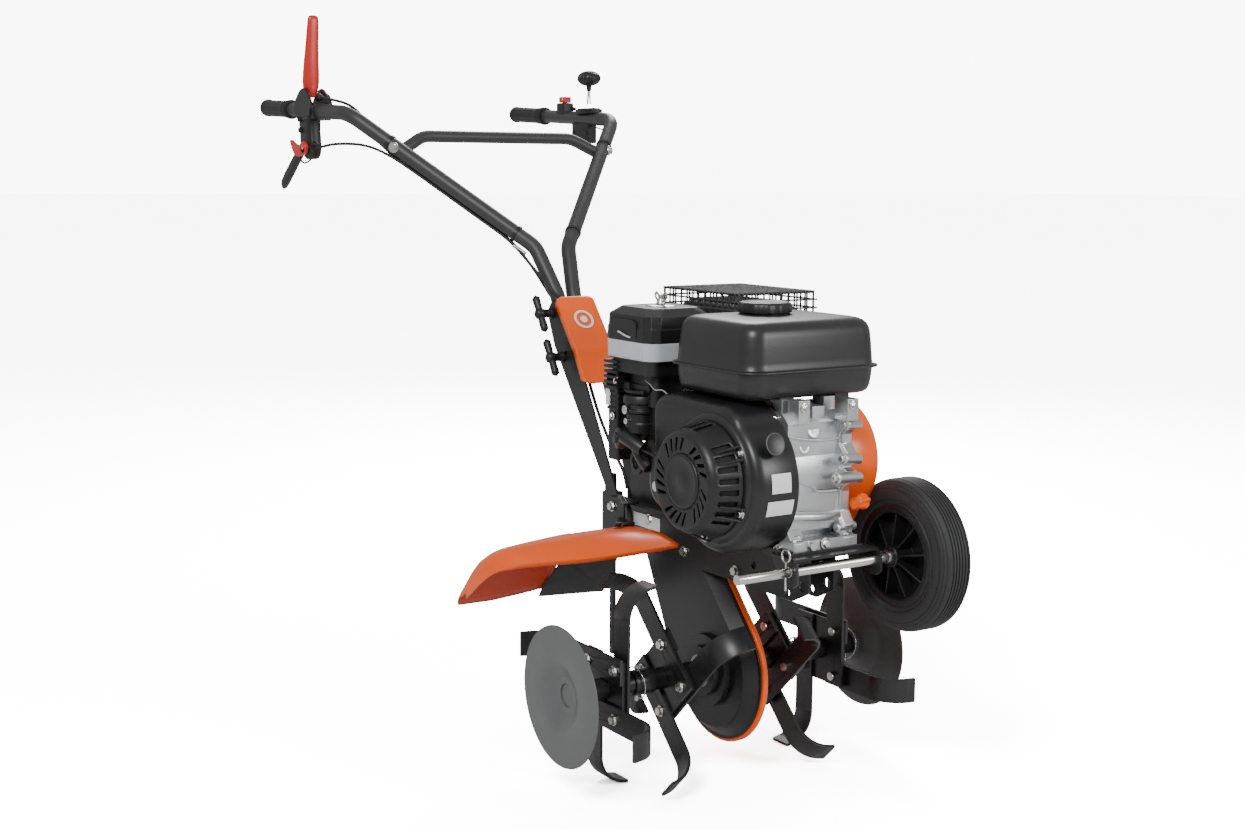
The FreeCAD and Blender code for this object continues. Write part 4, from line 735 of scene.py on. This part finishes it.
# ---- chain case and soil discs
def add_chain_case_rim():
    """Rolled orange edge of the left half of the chain case, all the way round."""
    low = Vector((CASE_LOW[0], 0, CASE_LOW[1]))
    high = Vector((CASE_HIGH[0], 0, CASE_HIGH[1]))
    run = high - low
    lean = atan2(run.z, run.x)
    open_angle = acos((CASE_RIM[0] - CASE_RIM[1]) / run.length)
    spots = []
    for k in range(57):
        angle = lean + open_angle + (2 * pi - 2 * open_angle) * k / 56
        spots.append((low, CASE_RIM[0], angle))
    for k in range(29):
        angle = lean - open_angle + 2 * open_angle * k / 28
        spots.append((high, CASE_RIM[1], angle))
    section = [(-3.0, 0.2), (0.6, 0.2), (1.6, 1.4), (1.6, 7.4), (0.6, 8.6), (-1.4, 8.6), (-3.0, 7.0)]
    rings = []
    for centre, radius, angle in spots:
        out = Vector((cos(angle), 0, sin(angle)))
        rings.append([tuple(centre + out * (radius + grow) + Vector((0, y, 0))) for grow, y in section])
    build = bmesh.new()
    skin(build, rings + rings[:1], False, False)
    bmesh.ops.remove_doubles(build, verts=build.verts[:], dist=0.00001)
    frame_piece("chain_case_rim", build, "orange_paint", angle=50)


def add_soil_discs():
    """Pressed soil discs with a deep dished centre and a rolled edge."""
    front = [(-1.0, 0.4), (-1.0, 27.5), (0.2, 30.5), (9.5, 49), (11.6, 53.5), (12.6, 58), (12.4, 80),
        (11.4, 105), (11.6, 107.8), (12.6, 109), (13.8, 108.8)]
    back = [(13.8, 105), (14.8, 80), (15.0, 57), (13.6, 52), (11.4, 47), (2.4, 29.5), (1.4, 26), (1.4, 18.5),
            (-12, 18.5), (-12, 0.4)]
    for name, side in (("right", -1), ("left", 1)):
        build = bmesh.new()
        lathe(build, (0, side * DISC_Y, AXLE_Z), (0, side, 0), front + back, 96)
        finish_piece("soil_disc_" + name, build, "tine_assembly", "disc_grey", ["soil_discs"], angle=40)


# ---- wheel
def add_wheel():
    """Ribbed solid tyre on a moulded rim with nine thin spokes."""
    x, z = WHEEL
    hub = (x, 0, z)
    left = [(104, 76), (101, 79), (100, 81.5), (101.5, 83), (99, 85), (98.6, 89), (98.8, 95), (99.8, 98.5),
            (101.2, 98.8), (101.0, 101), (102.4, 104), (104.0, 104.2), (104.2, 106), (106.5, 108.2),
            (108.0, 107.8), (108.8, 110)]
    tread = [(111, 111.6)]
    y = 114.0
    while y < 144:
        tread += [(y, 113.2), (y + 0.4, 111.2), (y + 2.0, 111.2), (y + 2.4, 113.2), (y + 4.9, 113.9)]
        y += 5.6
    right = [(2 * WHEEL_MIDDLE - a, r) for a, r in reversed(left)]
    rubber_ring = bmesh.new()
    lathe(rubber_ring, hub, LEFT, left + tread + [(147, 111.6)] + right, 96, ends=False)
    finish_piece("tyre_ribbed", rubber_ring, "wheel", "tyre", ["tyre"], angle=55)
    rim = bmesh.new()
    for profile, steps in (([(128, 63), (107, 63), (103.4, 64.5), (102.4, 67), (102.4, 72), (104, 76),
            (112, 76.5)], 72), ([(128, 63), (151, 63), (155, 65), (155.6, 72), (154, 76), (146, 76.5)],
            72), ([(126, 63), (126, 17), (96, 16), (95, 15), (95, 9.0)], 60),
            ([(130, 63), (130, 17), (159, 16), (160, 15), (160, 9.0)], 60)):
        lathe(rim, hub, LEFT, profile, steps, ends=False)
    for k in range(SPOKES):
        angle = radians(360 / SPOKES * k + 12)
        dx, dz = cos(angle), sin(angle)
        sx, sz = -dz * 1.3, dx * 1.3
        for y0, deep in ((128, 98), (128, 158)):
            rings = []
            for radius, face in ((13, deep), (63.5, 107 if deep < 128 else 150)):
                cx, cz = x + dx * radius, z + dz * radius
                rings.append([(cx - sx, y0, cz - sz), (cx + sx, y0, cz + sz), (cx + sx, face, cz + sz),
                    (cx - sx, face, cz - sz)])
            skin(rim, rings)
    finish_piece("wheel_rim_moulded", rim, "wheel", "black_plastic", ["wheel_rim"], bevel=0.4, angle=40)


# ---- crankcase details
def add_crankcase_details():
    """Wavy parting flange with its bosses, a cast ledge, tank lugs and base bolts on the alloy case."""
    flange = bmesh.new()
    outline = [(236, 452), (262, 452), (274, 456), (280, 466), (272, 476), (266, 486), (266, 514),
        (272, 522), (284, 528), (286, 537), (280, 545), (270, 549), (268, 556), (280, 560), (284, 568),
        (276, 576), (268, 584), (268, 598), (276, 606), (280, 614), (272, 622), (258, 626), (240, 630)]
    slab(flange, outline, 18, 34)
    slab(flange, [(px - 3, pz) for px, pz in outline], 14, 38)
    for a, b, r in (((283, 10, 614), (274, 43, 612), 7.5), ((286, 4, 566), (276, 43, 561), 8),
            ((284, -6, 538), (276, 45, 534), 8.5), ((272, 6, 462), (268, 44, 462), 7)):
        run = Vector(b) - Vector(a)
        lathe(flange, a, run, [(0, r - 2.4), (0.8, r - 0.9), (2.2, r), (run.length - 1, r),
            (run.length, r - 1)], 24)
    lathe(flange, (262, -30, 607), (0.93, 0, 0.36), [(-14, 15), (-2, 13), (0, 12), (0.6, 10.5), (0.2, 5),
        (0.2, 1)], 24)
    lathe(flange, (262, -46, 583), (0.93, 0, 0.2), [(-12, 12), (-2, 11), (0, 10), (0.5, 8), (0, 4.5),
        (-3, 4), (-3, 1)], 24)
    bent_bar(flange, [(266, -72, 486), (272, -40, 484), (270, -5, 481), (262, 18, 480)], 6.5, 12)
    bent_bar(flange, [(262, -72, 562), (266, -62, 538), (266, -34, 526), (266, -22, 518), (266, 14, 516)],
        2.2, 8)
    bent_bar(flange, [(262, -74, 600), (265, -55, 596), (266, -20, 592), (264, 14, 592)], 2.0, 8)
    for y in (-74, 16):
        slab(flange, [(246, 436.5), (281, 436.5), (281, 449), (272, 453), (262, 466), (252, 470)], y - 2,
            y + 22)
    for low, high in (((246, -66, 618), (272, -46, 652)), ((262, 8, 620), (290, 28, 652)),
            ((228, -30, 622), (258, -8, 640))):
        block(flange, low, high)
    frame_piece("crankcase_casting_details", flange, "alloy", bevel=1.6, angle=28)
    bolts = bmesh.new()
    for spot, axis, across in (((283.6, 10, 614), (0.26, -0.96, 0.06), 8),
            ((286.3, 4, 566), (0.25, -0.96, 0.1), 9), ((284.3, -6, 538), (0.15, -0.98, 0.05), 9),
            ((281.5, -20, 444.5), AHEAD, 11), ((270, -62, 452), UP, 10), ((270, 26, 452), UP, 10),
            ((272.5, -56, 642), AHEAD, 9), ((290.5, 18, 643), AHEAD, 9)):
        hex_head(bolts, spot, axis, across, 5)
    frame_piece("crankcase_bolts", bolts, "zinc", bevel=0.4)


def add_dipstick():
    build = bmesh.new()
    start, run = Vector((260, 48.5, 492.3)), Vector((20, 5.5, 7)).normalized()
    lathe(build, start, run, [(0, 9), (1, 11), (6, 11), (8, 9.5), (12, 9.5), (13, 11.5), (20, 11.5),
        (22, 10.5), (22.4, 1)], 48, 0.04, 8)
    side = run.cross(Vector(UP)).normalized()
    a, b = start + run * 20 + side * 13, start + run * 20 - side * 13
    bar(build, a, b, 3.6, 14, 1.2)
    finish_piece("dipstick_cap", build, "dipstick", "orange_paint", ["dipstick"], bevel=0.4, angle=40)


# ---- carburettor side
def add_carburettor_details():
    build = bmesh.new()
    lathe(build, (-50, -118, 628), DOWN, [(0, 27), (4, 29), (12, 29), (14, 26), (20, 25), (22, 28),
        (27, 28)], 32)
    lathe(build, (-50, -118, 586), DOWN, [(-14, 24), (0, 24), (2, 25.5), (16, 25), (22, 20), (25, 12),
        (30, 9)], 32)
    bent_bar(build, [(-88, -126, 640), (-72, -132, 634), (-50, -134, 632), (-24, -130, 634)], 4, 10)
    lathe(build, (-64, -146, 560), (-0.3, -1, 0.1), [(-26, 15), (-6, 15), (-4, 17), (6, 17), (8, 15.5),
        (9, 9), (12, 8.5), (13, 1)], 32)
    bent_bar(build, [(-60, -132, 562), (-30, -142, 556), (-6, -148, 540), (14, -146, 524)], 10, 14)
    lathe(build, (-46, -124, 524), (-0.1, -1, 0), [(0, 20), (6, 20), (7, 19), (7, 12), (2, 11.5), (2, 1)], 32)
    block(build, (-118, -140, 628), (-86, -100, 662))
    for z in range(634, 682, 8):
        skin(build, [rounded_rect(-121, -84, -146, -98, 6, z),
            rounded_rect(-121, -84, -146, -98, 6, z + 4.5)])
    frame_piece("carburettor_body_details", build, "black_plastic", bevel=0.8, angle=35)
    label = bmesh.new()
    block(label, (-119, -141.2, 606), (-108, -138.5, 632))
    frame_piece("intake_duct_label", label, "grey_plastic", bevel=0.3, finish=FINISH["white_label"])
    rods = bmesh.new()
    bent_bar(rods, [(-18, -134, 655), (6, -140, 651), (22, -142, 645), (40, -140, 646), (60, -138, 638),
        (104, -134, 633)], 1.1, 8)
    bent_bar(rods, [(-84, -140, 652), (-88, -144, 650), (-86, -146, 644), (-78, -146, 646)], 1.6, 8)
    hex_head(rods, (-98, -141, 590), RIGHT, 8, 4)
    lathe(rods, (-52, -146, 606), RIGHT, [(0, 7), (3, 7), (3.6, 6), (3.6, 1)], 20)
    lathe(rods, (-52, -142, 588), RIGHT, [(0, 5), (5, 5), (5.5, 4), (5.5, 1)], 20)
    frame_piece("throttle_rods", rods, "zinc", bevel=0.2)


# ---- handlebar pieces
def tube_height(x):
    return GRIP_Z + (x - GRIP_END) * (BEND_Z - GRIP_Z) / (BEND_X - GRIP_END)


def add_grips():
    """Fluted rubber grips: bulged ends, long shallow flutes and a double collar."""
    build = bmesh.new()
    for side in (-1, 1):
        start = Vector((GRIP_END, side * GRIP_Y, GRIP_Z))
        run = Vector((BEND_X - GRIP_END, 0, BEND_Z - GRIP_Z)).normalized()
        profile = [(0, 8, 0), (0.4, 13, 0), (2, 15.8, 0), (5, 17, 0), (10, 17.2, 0), (14, 16.8, 0),
            (18, 16.0, 0.5), (24, 15.8, 1), (60, 16.0, 1), (98, 15.8, 1), (104, 16.0, 0.5),
            (108, 17.0, 0), (114, 17.4, 0), (116, 17.0, 0), (117, 16.2, 0), (124, 16.2, 0),
            (125.5, 18.6, 0), (131, 18.8, 0), (133, 18, 0), (134, 14.2, 0)]
        rings = []
        for along, radius, flute in profile:
            centre = start + run * along
            rings.append(circle(centre, run, radius, 72, -0.035 * flute, 12 if flute else 0))
        skin(build, rings, True, False)
    finish_piece("grips_fluted", build, "handlebar", "rubber", ["grips"], angle=50)


def rounded_square(steps, power):
    """Unit points round a square with round corners: a lower power is squarer."""
    return [(copysign(abs(cos(a)) ** power, cos(a)), copysign(abs(sin(a)) ** power, sin(a)))
        for a in turns(steps)]


def paddle_ring(centre, along_x, half_x, half_y, steps=24):
    """Rounded rectangle in the plane that holds along_x and Y."""
    lean = Vector(along_x).normalized()
    return [Vector(centre) + lean * (u * half_x) + Vector((0, v * half_y, 0)) for u,
        v in rounded_square(steps, 0.6)]


def add_clutch_lever():
    x, z = CLUTCH_PIVOT
    levels = [(-8, -1, 7, 6.4, 0), (-3, -2, 9, 6.8, 0), (4, -4, 12, 10, 0), (10, -6, 14, 13, 0),
        (22, -5, 14, 14.4, 0), (40, -2, 12.4, 14.4, -0.6), (60, 1, 10.6, 13.4, -1),
        (84, 4, 8.8, 12.4, -0.6), (110, 7, 7.2, 11.4, 0), (132, 9.4, 6.4, 10.6, 0.6),
        (139, 10, 5.8, 9.8, 0.6), (142.4, 10.2, 4.4, 8, 0.6), (143.8, 10.3, 1.8, 4.5, 0.6)]
    build = bmesh.new()
    rings = [paddle_ring((x + dx, -GRIP_Y + dy, z + dz), AHEAD, hx, hy) for dz, dx, hx, hy, dy in levels]
    skin(build, rings)
    finish_piece("clutch_lever_paddle", build, "clutch_lever", "red_plastic", ["clutch_lever"], angle=60)


def add_reverse_lever():
    x, z = REVERSE_PIVOT
    build = bmesh.new()
    steps = [(6, 0, 7, 5.2, 90), (-6, 1, 8.6, 5.4, 88), (-26, 4, 9.4, 5.4, 80), (-42, 4, 10.4, 5.4, 66),
        (-54, -2, 11, 5.4, 56), (-72, -14, 11.2, 5.5, 54), (-102, -35, 11.6, 5.6, 54),
        (-132, -56, 11.8, 5.6, 54), (-150, -69, 10.6, 5.2, 54), (-156, -73.4, 7.6, 4.2, 54),
        (-159, -75.6, 3, 2, 54)]
    rings = []
    for dx, dz, half, thick, lean in steps:
        across = (cos(radians(lean)), 0, -sin(radians(lean)))
        rings.append(paddle_ring((x + dx, -GRIP_Y, z + dz), across, half, thick))
    skin(build, rings)
    finish_piece("reverse_lever_paddle", build, "reverse_lever", "black_plastic", ["reverse_lever"], angle=60)


def add_control_bracket():
    """Moulded clamp round the tube with two shoulders, a lower arm and screw bosses."""
    z = tube_height(-935)
    build = bmesh.new()

    def slice_ring(x, low, high, half):
        return [(x, -GRIP_Y + u * half, (low + high) / 2 + v * (high - low) / 2) for u,
            v in rounded_square(28, 0.7)]

    clamp = [(-984, -8, 9, 12), (-982, -15, 13, 17), (-974, -19, 14.6, 19.5), (-948, -20, 14.8, 20),
        (-914, -19, 14.8, 19.5), (-905, -18, 14.6, 19), (-899, -15, 13, 17), (-898, -8, 9, 12)]
    skin(build, [slice_ring(x, z + low, z + high, half) for x, low, high, half in clamp])
    cheek = [(-980, 6), (-974, 19), (-962, 30), (-948, 39), (-934, 42), (-922, 38), (-908, 27),
        (-900, 14), (-903, -10), (-974, -12)]
    for y0, y1 in ((-21, -15.4), (15.4, 20.4)):
        slab(build, [(x, z + rise) for x, rise in cheek], -GRIP_Y + y0, -GRIP_Y + y1)

    def cross_ring(cx, cz, half_x, half_y):
        return paddle_ring((cx, -GRIP_Y, cz), (1, 0, 0.1), half_x, half_y, 28)

    arm = [(-952, -12, 32, 14), (-952, -24, 31, 14.4), (-951, -40, 28, 14.4), (-949, -56, 29, 14.4),
           (-946, -70, 27, 14.2), (-942, -82, 21, 13), (-940, -90, 13, 10)]
    skin(build, [cross_ring(x, z + rise, half_x, half_y) for x, rise, half_x, half_y in arm])
    shoulder = [(-958, 26), (-930, 36), (-908, 28), (-898, 14), (-898, -14), (-908, -18), (-958, -18)]
    skin(build, [[(x, -GRIP_Y + y, z + rise) for x, rise in shoulder] for y in (16, 24)])
    for x, rise, radius in ((-962, -14, 6), (-914, -12, 6), (-960, -36, 4.5), (-938, -69, 9)):
        boss = [(0, radius + 1), (5.5, radius), (6, radius - 1.5), (4, radius - 2.5), (4, 1)]
        lathe(build, (x, -GRIP_Y - 14, z + rise), RIGHT, boss, 20)
    lathe(build, (-905, -286, z + 24), (1, 0, -0.12), [(0, 8), (4, 7), (14, 5.5), (15, 4), (24, 3.8),
        (25, 2.6)], 20)
    lathe(build, (-926, -289, z - 63), (1, 0, -0.1), [(0, 7), (4, 6), (12, 5), (13, 3.8), (20, 3.6),
        (21, 2.6)], 20)
    ring_line = [(-918, -300, z - 66), (-902, -301, z - 78), (-914, -301, z - 92), (-944, -301, z - 98),
        (-962, -301, z - 90), (-958, -300, z - 80)]
    bent_bar(build, ring_line, 2.0, 8)
    finish_piece("control_bracket_moulded", build, "handlebar", "black_plastic", ["control_bracket"],
        bevel=0.5, angle=40)


def add_latch():
    x, z = REVERSE_PIVOT
    build = bmesh.new()
    y0 = -GRIP_Y - 14.6
    lathe(build, (x, y0, z), RIGHT, [(0, 11.5), (6, 11.5), (7, 10.5), (7, 5), (6, 4), (6, 1)], 32)
    hook = curve_points([(x + 8, 0, z - 2), (x - 12, 0, z - 5), (x - 34, 0, z - 5), (x - 50, 0, z + 3),
        (x - 63, 0, z + 14)], 4)
    widths = [7.5, 9, 10, 10.4, 10.6, 10.8, 11, 11, 11, 10.6, 10, 9.2, 8.2, 7.0, 5.6, 4.0, 2.2]
    section = [(-1, -2.6), (-0.7, -3.5), (0.7, -3.5), (1, -2.6), (1, 2.6), (0.7, 3.5), (-0.7, 3.5), (-1, 2.6)]
    rings = []
    for k, spot in enumerate(hook):
        a, b = hook[max(k - 1, 0)], hook[min(k + 1, len(hook) - 1)]
        run = (b - a).normalized()
        normal = Vector((-run.z, 0, run.x))
        w = widths[k]
        rings.append([(spot.x + normal.x * w * u, y0 - 3.5 + v, spot.z + normal.z * w * u) for u,
            v in section])
    skin(build, rings)
    finish_piece("lever_latch_hook", build, "safety_latch", "red_plastic", ["lever_latch"], bevel=0.4,
        angle=45)


def add_left_controls():
    z = tube_height(-960)
    button = bmesh.new()
    lathe(button, (BUTTON_X, GRIP_Y, z + 29.8), UP, [(0, 9), (0.3, 12), (10, 12.2), (11.6, 11), (12, 9),
        (11, 7.5), (11, 1)], 72, 0.06, 9)
    finish_piece("stop_button_lobed", button, "stop_button", "red_plastic", ["stop_button"], bevel=0.3,
        angle=40)
    x, zk = SPEED_X, SPEED_Z
    knob = bmesh.new()
    rings = []
    for k in range(27):
        t = -1 + 2 * k / 26
        reach = max(0.0, 1 - abs(t) ** 2.6) ** 0.5
        groove = 0.86 if k % 5 == 3 else 1.0
        rings.append([(x + t * 27, GRIP_Y + cos(a) * (21.0 * reach * groove + 0.3),
            zk + 72 + sin(a) * (15.0 * reach * groove + 0.3)) for a in turns(28)])
    skin(knob, rings)
    lathe(knob, (x, GRIP_Y, zk + 46), UP, [(0, 3.5), (1, 4.6), (8, 5.2), (14, 7), (18, 9)], 20)
    finish_piece("speed_knob_ribbed", knob, "speed_control", "black_plastic", ["speed_knob"], angle=50)
    legs = bmesh.new()
    for s in (-1, 1):
        bent_bar(legs, [(x + s * 6, GRIP_Y, zk + 20), (x + s * 4, GRIP_Y, zk + 32),
            (x + s * 2.0, GRIP_Y, zk + 48)], 1.7, 10)
    finish_piece("speed_lever_fork", legs, "speed_control", "zinc")
    box_build = bmesh.new()
    skin(box_build, [rounded_rect(BUTTON_X - half_x, BUTTON_X + half_x, GRIP_Y - half_y, GRIP_Y + half_y,
        4, z + rise) for half_x, half_y, rise in ((16, 12.5, 6), (16, 12.5, 27), (14, 11, 28.9))])
    zb = tube_height(SPEED_X)
    for low, high, grow in ((10, 18, 0), (18, 20.4, -4)):
        rings = []
        for level, inset in ((low, 1), (low + 1, 0), (high - 1, 0), (high, 1)):
            half_x, half_y = 39 + grow - inset, 21 + grow - inset
            rings.append([(SPEED_X + half_x * cos(a), GRIP_Y + half_y * sin(a), zb + level)
                for a in turns(48)])
        skin(box_build, rings)
    block(box_build, (-886, GRIP_Y - 2.2, zb + 20), (-842, GRIP_Y + 2.2, zb + 21.2))
    skin(box_build,
        [rounded_rect(-914 + inset, -850 - inset, GRIP_Y - 11 + inset / 2, GRIP_Y + 11 - inset / 2, 3,
        zb + rise) for inset, rise in ((1, -50), (0, -48), (0, -9))])
    for px in (-906, -858):
        lathe(box_build, (px, GRIP_Y - 11, zb - 29), RIGHT, [(0, 4.5), (1.6, 4.2), (2, 3), (2, 1)], 20)
    lathe(box_build, (-942, GRIP_Y + 8, z + 18), (1, 0.25, -0.25), [(0, 4), (8, 3.4), (9, 2.2)], 16)
    finish_piece("left_switch_boxes", box_build, "handlebar", "black_plastic", ["left_control_housings"],
        bevel=0.6, angle=35)


def add_t_knobs():
    """Screwed knobs that clamp the handlebar: a waisted grip bar on a boss, a stud and its nut."""
    y = T_KNOB_Y
    for name, x, z in T_KNOBS:
        build = bmesh.new()
        lathe(build, (x, y - 0.5, z), RIGHT, [(0, 9.5), (3, 9.5), (6, 7.6), (14, 7.2), (18, 9), (22, 10),
            (30, 9), (33, 5)], 28)
        lean = Vector((-18.0, 0, 30.0)).normalized()
        rings = []
        for k in range(15):
            t = -1 + 2 * k / 14
            waist = 1 - 0.16 * (1 - abs(t)) ** 2 * 1.6
            end = sqrt(max(0.02, 1 - max(0, (abs(t) - 0.8) / 0.2) ** 2))
            rings.append(circle(Vector((x, y - 24, z)) + lean * (t * 36), lean, 7.4 * waist * end, 18))
        skin(build, rings)
        finish_piece("t_knob_" + name + "_grip", build, name + "_knob", "black_plastic",
            ["t_knob_" + name], angle=50)
        nut = bmesh.new()
        bar(nut, (x, y - 8, z), (x, 44, z), 4.0, 16)
        hex_head(nut, (x, 37.4, z), LEFT, 13, 6)
        finish_piece("t_knob_" + name + "_stud", nut, name + "_knob", "zinc", bevel=0.3)


def arm_spot(share, side, ahead=0.0, below=0.0):
    """Point on or beside an arm of the handlebar, with the arm's direction."""
    corner = Vector((BEND_X, -GRIP_Y, BEND_Z))
    foot = Vector(ARM_FOOT)
    along = (foot - corner).normalized()
    front = Vector((along.y, -along.x, 0)).normalized()
    spot = corner + (foot - corner) * share + front * ahead + along.cross(front) * below
    if side > 0:
        return Vector((spot.x, -spot.y, spot.z)), Vector((along.x, -along.y, along.z))
    return spot, along


def add_tube_bands():
    """Cable ties round the arms, and the chrome adjuster on the lower end of a cable."""
    build = bmesh.new()
    for side in (-1, 1):
        for share in (0.225, 0.90):
            spot, along = arm_spot(share, side)
            lathe(build, spot - along * 3, along, [(0, 13.6), (0.4, 15.2), (5.6, 15.2), (6, 13.6)], 32)
    finish_piece("cable_ties", build, "handlebar", "black_plastic")
    spring = bmesh.new()
    start, along = arm_spot(0.92, -1, 9, 19)
    for k in range(9):
        spot = start + along * (k * 3.2)
        lathe(spring, spot, along, [(0, 3.2), (0.8, 4.2), (1.6, 4.2), (2.4, 3.2)], 14)
    finish_piece("cable_adjuster", spring, "handlebar", "zinc")


# ---- deck details
def add_deck_details():
    label = bmesh.new()
    block(label, (-211, -26.2, 384), (-133, -25.1, 406))
    frame_piece("side_plate_label", label, "grey_plastic", bevel=0.2, finish=FINISH["white_label"])
    strut = bmesh.new()
    bent_bar(strut, [(-222, -40, 427), (-190, -50, 415), (-160, -64, 396), (-142, -70, 388)], 5, 12)
    lathe(strut, (-142, -70, 390), DOWN, [(-4, 8), (0, 10), (6, 10), (8, 8.5), (8, 1)], 24)
    frame_piece("fender_brace", strut, "black_paint")


PIECES = (add_tank, add_fuel_cap, add_air_cleaner, add_fan_cover, add_recoil, add_muffler, add_guard,
    add_fenders, add_column_cover, add_chain_case_rim, add_soil_discs, add_wheel, add_crankcase_details,
    add_dipstick, add_carburettor_details, add_grips, add_clutch_lever, add_reverse_lever,
    add_control_bracket, add_latch, add_left_controls, add_t_knobs, add_tube_bands, add_deck_details)


add_camera()
add_studio()
paint_cad_nodes()
for add in PIECES:
    add()
